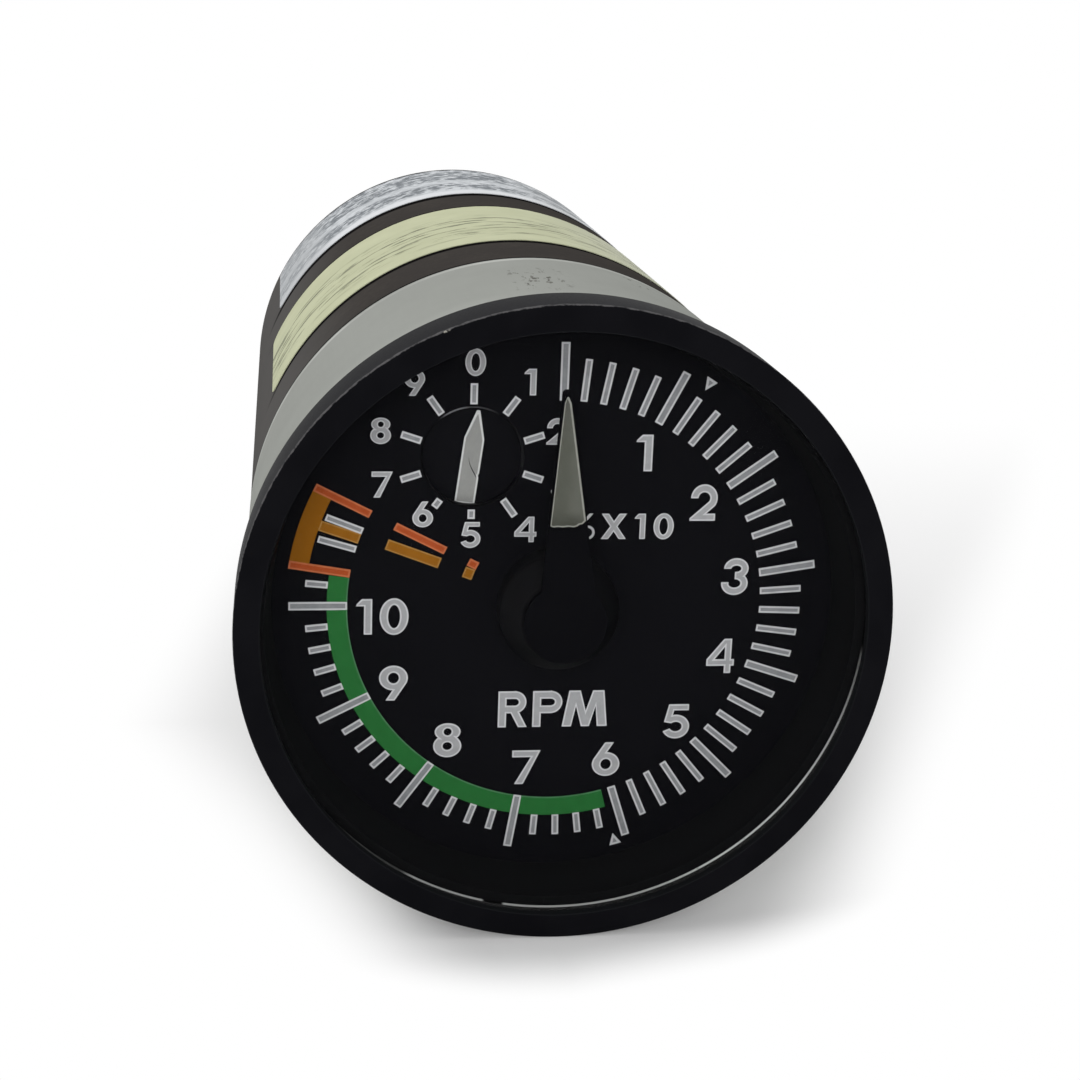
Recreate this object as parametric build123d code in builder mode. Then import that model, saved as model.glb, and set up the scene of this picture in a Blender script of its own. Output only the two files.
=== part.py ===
"""Gas producer indicator: a clamp-mounted round tachometer for a cockpit panel.

The instrument's axis is Y, its dial looks along -Y and the top of the dial is +Z.
The origin is on the axis, in the plane where the bezel's flange meets the clamp land.
All sizes are in millimetres. Dial angles are in degrees, clockwise from the top.
"""

from build123d import *
from math import atan2, cos, degrees, pi, radians, sin, sqrt, tan
import os

os.makedirs("parts", exist_ok=True)

# Bezel, glass and the ring that hides the edge of the dial; other radii follow from the bezel's
BEZEL_RADIUS = 30.15
BEZEL_DEPTH = 6.7
BEZEL_EDGE = 0.25
BEZEL_WALL = 1.35
LIP_WIDTH = 2.4
LIP_THICKNESS = 0.95
GASKET_THICKNESS = 0.25
GASKET_WIDTH = 0.8
GLASS_THICKNESS = 1.9
GLASS_BEVEL = 0.2
GLASS_CLEARANCE = 0.1
REFLECTOR_SETBACK = 0.35
REFLECTOR_TAPER = 0.63
DIAL_DROP = 6.15

# Case: a drawn can with a bare clamp land in front and a painted body behind it
LAND_STEP = 0.9
LAND_LENGTH = 28.3
BODY_STEP = 0.05
BODY_END = 123.2
CASE_EDGE = 1.6
CASE_WALL = 2.2
SPIGOT_CLEARANCE = 0.05
SPIGOT_WALL = 0.85
SPIGOT_LENGTH = 2.0
REAR_WALL = 2.0
DROP_IN_CLEARANCE = 0.1

# Labels wrapped over the top of the painted body
LABEL_THICKNESS = 0.08
YELLOW_LABEL_GAP = 14.0
YELLOW_LABEL_WIDTH = 31.6
YELLOW_LABEL_ANGLES = (-66.5, 60.0)
SILVER_LABEL_MARGIN = 3.2
SILVER_LABEL_WIDTH = 30.8
SILVER_LABEL_ANGLES = (-63.0, 56.0)

# Dial and its print
DIAL_THICKNESS = 0.8
PRINT_THICKNESS = 0.05
SCALE_STEP = 2.7
TICK_EVERY = 2
MAJOR_EVERY = 10
LAST_PLAIN_TICK = 102
EXTRA_TICKS = (106, 108)
SCALE_MARGIN = 1.57
MAJOR_LENGTH = 5.45
MINOR_LENGTH = 4.0
EXTRA_LENGTH = 3.65
MAJOR_WIDTH = 0.8
MINOR_WIDTH = 0.66
GREEN_VALUES = (61.1, 102.95)
GREEN_WIDTH = 1.9
AMBER_RISE = 0.3
AMBER_WIDTH = 1.85
RANGE_BAR_WIDTH = 0.78
RED_VALUES = (103.4, 109.9)
AMBER_BAR_VALUE = 107.1
DASHED_AMBER_VALUE = 107.6
DASH_GAP = 2.55
DASH_LENGTH = 5.3
SHORT_DASH_GAP = 2.8
SHORT_DASH_LENGTH = 0.95
POINTER_MARK_VALUES = (12.0, 61.0)
POINTER_MARK_RISE = 0.65
POINTER_MARK_HEIGHT = 1.2
POINTER_MARK_WIDTH = 1.18

# Vernier dial: its centre on the dial, its window and its ten marks
VERNIER_X, VERNIER_Z = -8.31, 14.34
WINDOW_RADIUS = 4.8
WINDOW_BEVEL = 0.2
VERNIER_TICK_INNER = 5.0
VERNIER_TICK_OUTER = 6.95
VERNIER_SHORT_OUTER = 5.9
VERNIER_SHORT_TICKS = (5, 6)
VERNIER_TICK_WIDTH = 0.68
VERNIER_DISC_RADIUS = 5.4
VERNIER_DISC_THICKNESS = 0.5
VERNIER_DISC_GAP = 0.1
VERNIER_HUB_RADIUS = 1.6
VERNIER_HUB_LENGTH = 1.6
HAND_LENGTH = 8.8
HAND_WIDTH = 1.88
HAND_SHOULDER = 2.6
HAND_TIP_WIDTH = 0.36
VERNIER_REST = 7.3

# Main pointer and the boss it turns over
POINTER_TOP = 0.64
POINTER_THICKNESS = 0.5
POINTER_OVERLAP = 2.1
POINTER_TIP_WIDTH = 0.5
POINTER_ROOT_WIDTH = 5.7
POINTER_HUB_RADIUS = 3.75
POINTER_REST = -1.4
LUME_INNER = 9.3
LUME_TIP_MARGIN = 0.5
LUME_MARGIN = 0.1
LUME_THICKNESS = 0.1
COLLET_RADIUS = 1.6
COLLET_LENGTH = 1.3
BOSS_RADIUS = 5.7
BOSS_STEP = 2.5
BOSS_TOP_RADIUS = 3.95
BOSS_GAP = 0.25
BOSS_BORE = 2.1
BOSS_SPIGOT_RADIUS = 2.9

# Movement frame: four round plates held apart by stacked pillars
PLATE_CLEARANCE = 0.7
PLATE_THICKNESS = 1.6
PLATE_GAP = 3.0
GEAR_BAY = 14.0
DRAG_BAY = 21.0
MOTOR_BAY = 38.0
PILLAR_INSET = 2.5
PILLAR_RADIUS = 2.1
PILLAR_SIDES = 6
PILLAR_COUNT = 3
PILLAR_FIRST = 30.0
STUD_RADIUS = 1.0
STUD_GRIP = 3.0
STUD_CLEARANCE = 0.08
STUD_ROOM = 0.3
SCREW_HEAD_RADIUS = 1.85
SCREW_HEAD_HEIGHT = 1.2
SLOT_WIDTH = 0.5
SLOT_DEPTH = 0.6

# Gear train
MODULE = 0.3
MAIN_TEETH = 80
PINION_TEETH = 12
IDLER_TEETH = 24
BACKLASH = 0.12
PRESSURE_ANGLE = 20.0
ADDENDUM = 0.24
DEDENDUM = 0.38
GEAR_THICKNESS = 1.2
PINION_LENGTH = 1.6
MAIN_GEAR_STATION = 8.0
IDLER_GEAR_STATION = 2.6
STAFF_RADIUS = 0.75
JOURNAL_RADIUS = 0.6
ARBOR_RADIUS = 1.0
RUNNING_CLEARANCE = 0.03
END_PLAY = 0.15
BUSH_WALL = 0.9
BUSH_OVERHANG = 0.5
BUSH_HEAD = 0.4
HUB_RADIUS = 2.4
HUB_LENGTH = 2.6
IDLER_HUB_RADIUS = 1.9
IDLER_HUB_LENGTH = 1.0
LIGHTENING_RADIUS = 2.6
LIGHTENING_OFFSET = 7.2
LIGHTENING_COUNT = 5

# Hairspring
SPRING_STATION = 5.0
SPRING_HEIGHT = 0.6
SPRING_THICKNESS = 0.16
SPRING_PITCH = 0.9
SPRING_HALF_TURNS = 9
SPRING_COLLET_RADIUS = 1.7
SPRING_COLLET_LENGTH = 1.4
SPRING_COLLET_GAP = 0.3
SPRING_STUD_RADIUS = 0.7
SPRING_STUD_LIP = 0.4

# Drag cup, magnets and motor
CUP_RADIUS = 11.8
CUP_WALL = 0.5
CUP_STATION = 3.0
CUP_DEPTH = 12.0
CUP_HUB_RADIUS = 2.2
CUP_HUB_LENGTH = 1.6
MAGNET_CLEARANCE = 0.4
MAGNET_LENGTH = 9.0
MAGNET_GAP = 0.8
MAGNET_POLES = 6
MAGNET_GROOVE = 1.0
FLUX_GAP = 0.5
FLUX_WALL = 2.2
SHAFT_RADIUS = 1.5
SHAFT_TAIL = 2.0
ROTOR_LENGTH = 28.0
ROTOR_HUB_RADIUS = 2.8
ROTOR_SLOT_COUNT = 12
ROTOR_SLOT_WIDTH = 0.8
ROTOR_SLOT_DEPTH = 1.2
AIR_GAP = 0.4
MOTOR_CLEARANCE = 0.2
STATOR_LENGTH = 24.0
STATOR_YOKE = 3.5
STATOR_POLES = 6
POLE_WIDTH = 5.0
POLE_LENGTH = 5.1
SHOE_DEPTH = 1.4
SHOE_HALF_ANGLE = 24.0
COIL_BUILD = 2.2
COIL_MARGIN = 0.25
COIL_CORNER = 1.2
MOTOR_SHELL_WALL = 1.5
ROTOR_BUSH_WALL = 2.0

# Electrical receptacle on the rear wall
CONNECTOR_FLANGE = 25.4
CONNECTOR_FLANGE_THICKNESS = 2.4
CONNECTOR_CORNER = 2.0
CONNECTOR_GASKET_THICKNESS = 0.5
CONNECTOR_HOLE_INSET = 3.57
CONNECTOR_SCREW_RADIUS = 1.4
CONNECTOR_HEAD_RADIUS = 2.6
CONNECTOR_HEAD_HEIGHT = 1.6
THREAD_RADIUS = 7.94
THREAD_LENGTH = 12.0
SHELL_SPIGOT_LENGTH = 5.0
SHELL_SPIGOT_CLEARANCE = 0.15
SOCKET_RADIUS = 6.2
KEY_WIDTH = 1.2
KEY_HEIGHT = 0.6
INSERT_LENGTH = 8.5
PIN_COUNT = 3
PIN_OFFSET = 3.0
PIN_RADIUS = 0.8
PIN_CHAMFER = 0.3
PIN_REACH = 5.0
PIN_TAIL = 4.0

# Radii, from the bezel inwards
opening_radius = BEZEL_RADIUS - LIP_WIDTH
recess_radius = BEZEL_RADIUS - BEZEL_WALL
glass_radius = recess_radius - GLASS_CLEARANCE
reflector_front_radius = opening_radius - REFLECTOR_SETBACK
reflector_back_radius = reflector_front_radius - REFLECTOR_TAPER
land_radius = BEZEL_RADIUS - LAND_STEP
body_radius = land_radius - BODY_STEP
spigot_radius = recess_radius - SPIGOT_CLEARANCE
seat_radius = spigot_radius - SPIGOT_WALL
bay_radius = body_radius - CASE_WALL
major_outer = reflector_back_radius - SCALE_MARGIN
tick_inner = major_outer - MAJOR_LENGTH
minor_outer = tick_inner + MINOR_LENGTH
extra_outer = tick_inner + EXTRA_LENGTH
green_outer = tick_inner + GREEN_WIDTH
amber_outer = major_outer + AMBER_RISE
amber_inner = amber_outer - AMBER_WIDTH
pointer_mark_outer = major_outer + POINTER_MARK_RISE
pointer_mark_inner = pointer_mark_outer - POINTER_MARK_HEIGHT
pointer_length = tick_inner + POINTER_OVERLAP
lume_outer = pointer_length - LUME_TIP_MARGIN
plate_radius = bay_radius - PLATE_CLEARANCE
pillar_circle = plate_radius - PILLAR_INSET
motor_radius = pillar_circle - PILLAR_RADIUS - MOTOR_CLEARANCE
stator_radius = motor_radius - MOTOR_SHELL_WALL
yoke_bore = stator_radius - STATOR_YOKE
shoe_back = yoke_bore - POLE_LENGTH
shoe_bore = shoe_back - SHOE_DEPTH
rotor_radius = shoe_bore - AIR_GAP
magnet_radius = CUP_RADIUS - CUP_WALL - MAGNET_CLEARANCE
dashes = (
    (tick_inner - DASH_GAP - DASH_LENGTH, tick_inner - DASH_GAP),
    (BOSS_RADIUS + SHORT_DASH_GAP, BOSS_RADIUS + SHORT_DASH_GAP + SHORT_DASH_LENGTH),
)
connector_hole_spacing = CONNECTOR_FLANGE - 2 * CONNECTOR_HOLE_INSET

# Stations along the axis, front to back
bezel_front = -BEZEL_DEPTH
lip_back = bezel_front + LIP_THICKNESS
glass_front = lip_back + GASKET_THICKNESS
glass_back = glass_front + GLASS_THICKNESS
dial_face = glass_back + DIAL_DROP
dial_back = dial_face + DIAL_THICKNESS
print_face = dial_face - PRINT_THICKNESS
pointer_front = glass_back + POINTER_TOP
pointer_back = pointer_front + POINTER_THICKNESS
front_plate_face = dial_back + PLATE_GAP
front_plate_back = front_plate_face + PLATE_THICKNESS
middle_plate_face = front_plate_back + GEAR_BAY
middle_plate_back = middle_plate_face + PLATE_THICKNESS
motor_plate_face = middle_plate_back + DRAG_BAY
motor_plate_back = motor_plate_face + PLATE_THICKNESS
end_plate_face = motor_plate_back + MOTOR_BAY
end_plate_back = end_plate_face + PLATE_THICKNESS
yellow_label_start = LAND_LENGTH + YELLOW_LABEL_GAP
silver_label_start = BODY_END - SILVER_LABEL_MARGIN - SILVER_LABEL_WIDTH
rear_wall_face = BODY_END - REAR_WALL
main_gear_face = front_plate_back + MAIN_GEAR_STATION
idler_gear_face = front_plate_back + IDLER_GEAR_STATION
spring_face = front_plate_back + SPRING_STATION
cup_face = middle_plate_back + CUP_STATION
magnet_face = cup_face + CUP_WALL + MAGNET_GAP
receptacle_face = BODY_END + CONNECTOR_GASKET_THICKNESS
thread_face = receptacle_face + CONNECTOR_FLANGE_THICKNESS
thread_end = thread_face + THREAD_LENGTH
shell_back = receptacle_face - SHELL_SPIGOT_LENGTH
insert_face = shell_back + INSERT_LENGTH

# The idler arbor stands where both of its meshes have their true centre distance
main_mesh = MODULE * (MAIN_TEETH + PINION_TEETH) / 2
vernier_mesh = MODULE * (IDLER_TEETH + PINION_TEETH) / 2
vernier_reach = sqrt(VERNIER_X**2 + VERNIER_Z**2)
along = (vernier_reach**2 + main_mesh**2 - vernier_mesh**2) / (2 * vernier_reach)
aside = sqrt(main_mesh**2 - along**2)
idler_x = (VERNIER_X * along + VERNIER_Z * aside) / vernier_reach
idler_z = (VERNIER_Z * along - VERNIER_X * aside) / vernier_reach
idler_place = (idler_x, idler_z)
vernier_place = (VERNIER_X, VERNIER_Z)


def station(y, place=(0, 0), turn=0):
    """Plane across the axis, seen from the front, with its top turned clockwise from the dial's."""
    right = (cos(radians(turn)), 0, -sin(radians(turn)))
    return Plane((place[0], y, place[1]), x_dir=right, z_dir=(0, -1, 0))


def dial_angle(value):
    """Counter-clockwise angle from the right of the dial, for a value on its scale."""
    return 90 - value * SCALE_STEP


def pillar_locations():
    """Places of the pillars around the axis."""
    return PolarLocations(pillar_circle, PILLAR_COUNT, start_angle=PILLAR_FIRST)


def turned(*outline):
    """Revolve a closed outline of (radius, station) points around the instrument's axis."""
    with BuildSketch(Plane.XY) as section:
        with BuildLine() as edge:
            Polyline(*outline, close=True)
        make_face(edge.edges())
    revolve(section.sketch, axis=Axis.Y)


def ring_sector(inner, outer, first, last, centre=(0, 0)):
    """Face between two radii and two dial angles."""
    with BuildLine() as edge:
        near = CenterArc(centre, inner, 90 - last, last - first)
        far = CenterArc(centre, outer, 90 - last, last - first)
        Line(near @ 0, far @ 0)
        Line(near @ 1, far @ 1)
    make_face(edge.edges())


def radial_bar(angle, inner, outer, width):
    """Bar that points at the middle of its dial, at a counter-clockwise angle."""
    with PolarLocations((inner + outer) / 2, 1, start_angle=angle):
        Rectangle(outer - inner, width)


def gear_outline(teeth, phase):
    """Outline of a fine spur gear with one tooth centred on the angle phase."""
    pitch = MODULE * teeth / 2
    points = []
    for tooth in range(teeth):
        middle = radians(phase + 360 * tooth / teeth)
        for side, height in ((-1, -DEDENDUM), (-1, ADDENDUM), (1, ADDENDUM), (1, -DEDENDUM)):
            half = (pi * MODULE / 2 - BACKLASH) / 2 - height * tan(radians(PRESSURE_ANGLE))
            turn = middle + side * half / (pitch + height)
            points.append(((pitch + height) * cos(turn), (pitch + height) * sin(turn)))
    with BuildLine() as edge:
        Polyline(*points, close=True)
    make_face(edge.edges())


def meshed_phase(teeth, other_teeth, other_phase, direction):
    """Tooth phase of a gear so that it meshes with another that lies opposite to direction."""
    offset = (direction - other_phase) * other_teeth / 360
    return direction + 180 - (0.5 - offset) * 360 / teeth


def sleeve(radius, hole, front, back):
    """Plain round piece on the axis between two stations."""
    turned((hole, front), (radius, front), (radius, back), (hole, back))


def save(builder, name):
    """Label a finished piece and write it."""
    builder.part.label = name
    export_step(builder.part, f"parts/{name}.step")


# Bezel: one turned ring, with a lip in front and a recess for the glass behind it
with BuildPart() as bezel:
    turned(
        (opening_radius, bezel_front),
        (BEZEL_RADIUS - BEZEL_EDGE, bezel_front),
        (BEZEL_RADIUS, bezel_front + BEZEL_EDGE),
        (BEZEL_RADIUS, 0),
        (recess_radius, 0),
        (recess_radius, lip_back),
        (opening_radius, lip_back),
    )
save(bezel, "bezel")

# Flat gasket between the lip and the glass
with BuildPart() as glass_gasket:
    sleeve(glass_radius, glass_radius - GASKET_WIDTH, lip_back, glass_front)
save(glass_gasket, "glass_gasket")

# Flat glass with a ground bevel on both edges
with BuildPart() as glass:
    turned(
        (0, glass_front),
        (glass_radius - GLASS_BEVEL, glass_front),
        (glass_radius, glass_front + GLASS_BEVEL),
        (glass_radius, glass_back - GLASS_BEVEL),
        (glass_radius - GLASS_BEVEL, glass_back),
        (0, glass_back),
    )
save(glass, "glass")

# Black ring from the glass down to the dial, stepped to pass inside the case
reflector_step = -SPIGOT_LENGTH - DROP_IN_CLEARANCE
reflector_radius = seat_radius - DROP_IN_CLEARANCE
with BuildPart() as reflector_ring:
    turned(
        (reflector_front_radius, glass_back),
        (glass_radius, glass_back),
        (glass_radius, reflector_step),
        (reflector_radius, reflector_step),
        (reflector_radius, dial_face),
        (reflector_back_radius, dial_face),
    )
save(reflector_ring, "reflector_ring")

# Case: spigot into the bezel, clamp land, painted body, closed rear wall
shell_spigot_radius = THREAD_RADIUS + SHELL_SPIGOT_CLEARANCE
with BuildPart() as case:
    turned(
        (seat_radius, -SPIGOT_LENGTH),
        (spigot_radius, -SPIGOT_LENGTH),
        (spigot_radius, 0),
        (land_radius, 0),
        (land_radius, LAND_LENGTH),
        (body_radius, LAND_LENGTH),
        (body_radius, BODY_END),
        (0, BODY_END),
        (0, rear_wall_face),
        (bay_radius, rear_wall_face),
        (bay_radius, dial_back),
        (seat_radius, dial_back),
    )
    fillet(case.edges().filter_by(GeomType.CIRCLE).group_by(Axis.Y)[-1], CASE_EDGE)
    with BuildSketch(station(BODY_END)):
        Circle(shell_spigot_radius + SHELL_SPIGOT_CLEARANCE)
        with GridLocations(connector_hole_spacing, connector_hole_spacing, 2, 2):
            Circle(CONNECTOR_SCREW_RADIUS + STUD_CLEARANCE)
        with pillar_locations():
            Circle(STUD_RADIUS + STUD_CLEARANCE)
    extrude(amount=REAR_WALL, mode=Mode.SUBTRACT)
save(case, "case")


def wrapped_label(start, width, first, last):
    """Thin label wrapped around the painted body between two angles from the top."""
    with BuildSketch(station(start + width)) as strip:
        ring_sector(body_radius, body_radius + LABEL_THICKNESS, first, last)
    extrude(strip.sketch, amount=width)


with BuildPart() as yellow_label:
    wrapped_label(yellow_label_start, YELLOW_LABEL_WIDTH, *YELLOW_LABEL_ANGLES)
save(yellow_label, "yellow_label")

with BuildPart() as silver_label:
    wrapped_label(silver_label_start, SILVER_LABEL_WIDTH, *SILVER_LABEL_ANGLES)
save(silver_label, "silver_label")

# Dial: a disc with a bevelled vernier window and a hole for the boss
with BuildPart() as dial:
    with BuildSketch(station(dial_back)):
        Circle(seat_radius - DROP_IN_CLEARANCE)
        Circle(BOSS_SPIGOT_RADIUS, mode=Mode.SUBTRACT)
    extrude(amount=DIAL_THICKNESS)
    with BuildSketch(station(dial_back)):
        with Locations((VERNIER_X, VERNIER_Z)):
            Circle(WINDOW_RADIUS)
    extrude(amount=DIAL_THICKNESS, mode=Mode.SUBTRACT)
    front_edges = dial.edges().filter_by(GeomType.CIRCLE).group_by(Axis.Y)[0]
    chamfer(front_edges.sort_by_distance((VERNIER_X, dial_face, VERNIER_Z))[0], WINDOW_BEVEL)
save(dial, "dial")

# White print: the scale's marks, the vernier's marks and two small index triangles
plain_ticks = range(0, LAST_PLAIN_TICK + 1, TICK_EVERY)
majors = [value for value in plain_ticks if value % MAJOR_EVERY == 0]
with BuildPart() as white_marks:
    with BuildSketch(station(dial_face)):
        for value in majors:
            radial_bar(dial_angle(value), tick_inner, major_outer, MAJOR_WIDTH)
        for value in plain_ticks:
            if value not in majors:
                inner = green_outer if value > GREEN_VALUES[0] else tick_inner
                radial_bar(dial_angle(value), inner, minor_outer, MINOR_WIDTH)
        for value in EXTRA_TICKS:
            radial_bar(dial_angle(value), tick_inner, extra_outer, MINOR_WIDTH)
        for value in POINTER_MARK_VALUES:
            turn = radians(dial_angle(value))
            tip = Vector(cos(turn), sin(turn)) * pointer_mark_inner
            base = Vector(cos(turn), sin(turn)) * pointer_mark_outer
            side = Vector(-sin(turn), cos(turn)) * POINTER_MARK_WIDTH / 2
            with BuildLine():
                Polyline(tip, base + side, base - side, close=True)
            make_face()
        with Locations((VERNIER_X, VERNIER_Z)):
            for digit in range(10):
                short = digit in VERNIER_SHORT_TICKS
                outer = VERNIER_SHORT_OUTER if short else VERNIER_TICK_OUTER
                radial_bar(90 - 36 * digit, VERNIER_TICK_INNER, outer, VERNIER_TICK_WIDTH)
    extrude(amount=PRINT_THICKNESS)
save(white_marks, "white_marks")

# Green arc of the normal range, which the major marks cross
with BuildPart() as green_arc:
    with BuildSketch(station(dial_face)):
        ring_sector(tick_inner, green_outer, *[value * SCALE_STEP for value in GREEN_VALUES])
        for value in majors:
            with PolarLocations(tick_inner, 1, start_angle=dial_angle(value)):
                Rectangle(major_outer - tick_inner, MAJOR_WIDTH, mode=Mode.SUBTRACT)
    extrude(amount=PRINT_THICKNESS)
save(green_arc, "green_arc")

# Amber caution marks: an arc, a bar beside the last mark and a dashed line to the middle
with BuildPart() as amber_marks:
    with BuildSketch(station(dial_face)):
        ring_sector(amber_inner, amber_outer, *[value * SCALE_STEP for value in RED_VALUES])
        radial_bar(dial_angle(AMBER_BAR_VALUE), tick_inner, (amber_inner + amber_outer) / 2, RANGE_BAR_WIDTH)
        for inner, outer in dashes:
            radial_bar(dial_angle(DASHED_AMBER_VALUE), inner, outer, RANGE_BAR_WIDTH)
        for value in RED_VALUES:
            with PolarLocations(amber_inner, 1, start_angle=dial_angle(value)):
                Rectangle(2 * (amber_outer - tick_inner), RANGE_BAR_WIDTH, mode=Mode.SUBTRACT)
    extrude(amount=PRINT_THICKNESS)
save(amber_marks, "amber_marks")

# Red limit marks: two bars and a dashed line to the middle
with BuildPart() as red_marks:
    with BuildSketch(station(dial_face)):
        for value in RED_VALUES:
            radial_bar(dial_angle(value), tick_inner, amber_outer, RANGE_BAR_WIDTH)
        for inner, outer in dashes:
            radial_bar(dial_angle(RED_VALUES[1]), inner, outer, RANGE_BAR_WIDTH)
    extrude(amount=PRINT_THICKNESS)
save(red_marks, "red_marks")

# Boss: a short turned post through the dial, coned towards the pointer
boss_top = pointer_back + BOSS_GAP
with BuildPart() as dial_boss:
    turned(
        (BOSS_BORE, boss_top),
        (BOSS_TOP_RADIUS, boss_top),
        (BOSS_RADIUS, dial_face - BOSS_STEP),
        (BOSS_RADIUS, dial_face),
        (BOSS_SPIGOT_RADIUS, dial_face),
        (BOSS_SPIGOT_RADIUS, dial_back),
        (BOSS_BORE, dial_back),
    )
save(dial_boss, "dial_boss")


def blade(inner, outer, margin=0.0):
    """Tapered face along the pointer between two radii, drawn in by a margin on each side."""
    taper = (POINTER_TIP_WIDTH - POINTER_ROOT_WIDTH) / pointer_length
    near = (POINTER_ROOT_WIDTH + taper * inner) / 2 - margin
    far = (POINTER_ROOT_WIDTH + taper * outer) / 2 - margin
    with BuildLine() as edge:
        Polyline((-near, inner), (-far, outer), (far, outer), (near, inner), close=True)
    make_face(edge.edges())


# Main pointer: a flat blade with a round hub, and its luminous tip
with BuildPart() as pointer:
    with BuildSketch(station(pointer_back, turn=POINTER_REST)):
        Circle(POINTER_HUB_RADIUS)
        blade(0, pointer_length)
    extrude(amount=POINTER_THICKNESS)
save(pointer, "pointer")

with BuildPart() as pointer_lume:
    with BuildSketch(station(pointer_front, turn=POINTER_REST)):
        blade(LUME_INNER, lume_outer, LUME_MARGIN)
    extrude(amount=LUME_THICKNESS)
save(pointer_lume, "pointer_lume")

# Collet that carries the pointer on the staff, which runs back to the drag cup
with BuildPart() as pointer_collet:
    sleeve(COLLET_RADIUS, STAFF_RADIUS, pointer_back, pointer_back + COLLET_LENGTH)
save(pointer_collet, "pointer_collet")

with BuildPart() as pointer_staff:
    sleeve(STAFF_RADIUS, 0, pointer_back, cup_face + CUP_WALL)
save(pointer_staff, "pointer_staff")

# Vernier disc behind its window, with the painted hand as a thin arrow on its face
disc_front = dial_back + VERNIER_DISC_GAP
disc_back = disc_front + VERNIER_DISC_THICKNESS
with BuildPart() as vernier_disc:
    with BuildSketch(station(disc_back)):
        with Locations(vernier_place):
            Circle(VERNIER_DISC_RADIUS)
            Circle(JOURNAL_RADIUS, mode=Mode.SUBTRACT)
    extrude(amount=VERNIER_DISC_THICKNESS)
    with BuildSketch(station(disc_back + VERNIER_HUB_LENGTH)):
        with Locations(vernier_place):
            Circle(VERNIER_HUB_RADIUS)
            Circle(JOURNAL_RADIUS, mode=Mode.SUBTRACT)
    extrude(amount=VERNIER_HUB_LENGTH)
save(vernier_disc, "vernier_disc")

with BuildPart() as vernier_hand:
    with BuildSketch(station(disc_front, vernier_place, VERNIER_REST)):
        with BuildLine():
            half, end, shoulder = HAND_WIDTH / 2, HAND_LENGTH / 2, HAND_LENGTH / 2 - HAND_SHOULDER
            Polyline(
                (-half, -end),
                (half, -end),
                (half, shoulder),
                (HAND_TIP_WIDTH / 2, end),
                (-HAND_TIP_WIDTH / 2, end),
                (-half, shoulder),
                close=True,
            )
        make_face()
    extrude(amount=PRINT_THICKNESS)
save(vernier_hand, "vernier_hand")


def round_plate(face, bores):
    """Movement plate with holes for the pillar studs and a bore for each (place, radius)."""
    with BuildSketch(station(face + PLATE_THICKNESS)) as blank:
        Circle(plate_radius)
        with pillar_locations():
            Circle(STUD_RADIUS + STUD_CLEARANCE, mode=Mode.SUBTRACT)
        for place, radius in bores:
            with Locations(place):
                Circle(radius, mode=Mode.SUBTRACT)
    extrude(blank.sketch, amount=PLATE_THICKNESS)


def flanged_bush(place, shaft, wall, face):
    """Bush pressed into a plate from behind, with a running bore for its shaft."""
    back = face + PLATE_THICKNESS
    head_radius = shaft + wall + BUSH_OVERHANG
    for radius, front, end in ((shaft + wall, face, back), (head_radius, back, back + BUSH_HEAD)):
        with BuildSketch(station(end)) as disc:
            with Locations(place):
                Circle(radius)
                Circle(shaft + RUNNING_CLEARANCE, mode=Mode.SUBTRACT)
        extrude(disc.sketch, amount=end - front)


# Movement plates, front to back: gears, drag cup and motor lie between them
gear_bores = [
    ((0, 0), STAFF_RADIUS + BUSH_WALL),
    (idler_place, JOURNAL_RADIUS + BUSH_WALL),
    (vernier_place, JOURNAL_RADIUS + BUSH_WALL),
]
motor_bores = [((0, 0), SHAFT_RADIUS + ROTOR_BUSH_WALL)]
with BuildPart() as front_plate:
    round_plate(front_plate_face, gear_bores)
save(front_plate, "front_plate")

with BuildPart() as middle_plate:
    round_plate(middle_plate_face, gear_bores)
save(middle_plate, "middle_plate")

with BuildPart() as motor_plate:
    round_plate(motor_plate_face, motor_bores)
save(motor_plate, "motor_plate")

with BuildPart() as end_plate:
    round_plate(end_plate_face, motor_bores)
save(end_plate, "end_plate")

# Bushes for the staff, the two gear arbors and the rotor
with BuildPart() as staff_bushes:
    flanged_bush((0, 0), STAFF_RADIUS, BUSH_WALL, front_plate_face)
    flanged_bush((0, 0), STAFF_RADIUS, BUSH_WALL, middle_plate_face)
save(staff_bushes, "staff_bushes")

with BuildPart() as arbor_bushes:
    for place in (idler_place, vernier_place):
        flanged_bush(place, JOURNAL_RADIUS, BUSH_WALL, front_plate_face)
        flanged_bush(place, JOURNAL_RADIUS, BUSH_WALL, middle_plate_face)
save(arbor_bushes, "arbor_bushes")

with BuildPart() as rotor_bushes:
    flanged_bush((0, 0), SHAFT_RADIUS, ROTOR_BUSH_WALL, motor_plate_face)
    flanged_bush((0, 0), SHAFT_RADIUS, ROTOR_BUSH_WALL, end_plate_face)
save(rotor_bushes, "rotor_bushes")


def pillar_discs(radius, front, back, mode=Mode.ADD):
    """One disc at each pillar between two stations."""
    with BuildSketch(station(back)) as discs:
        with pillar_locations():
            Circle(radius)
    extrude(discs.sketch, amount=back - front, mode=mode)


def stacked_pillars(front, back, studs=True):
    """Hexagonal pillars with a threaded hole in front and a stud, or a second hole, behind."""
    with BuildSketch(station(back)) as bars:
        with pillar_locations():
            RegularPolygon(PILLAR_RADIUS, PILLAR_SIDES)
    extrude(bars.sketch, amount=back - front)
    pillar_discs(STUD_RADIUS + STUD_CLEARANCE, front, front + STUD_GRIP + STUD_ROOM, Mode.SUBTRACT)
    if studs:
        pillar_discs(STUD_RADIUS, back, back + PLATE_THICKNESS + STUD_GRIP)
    else:
        pillar_discs(STUD_RADIUS + STUD_CLEARANCE, back - STUD_GRIP - STUD_ROOM, back, Mode.SUBTRACT)


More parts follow.
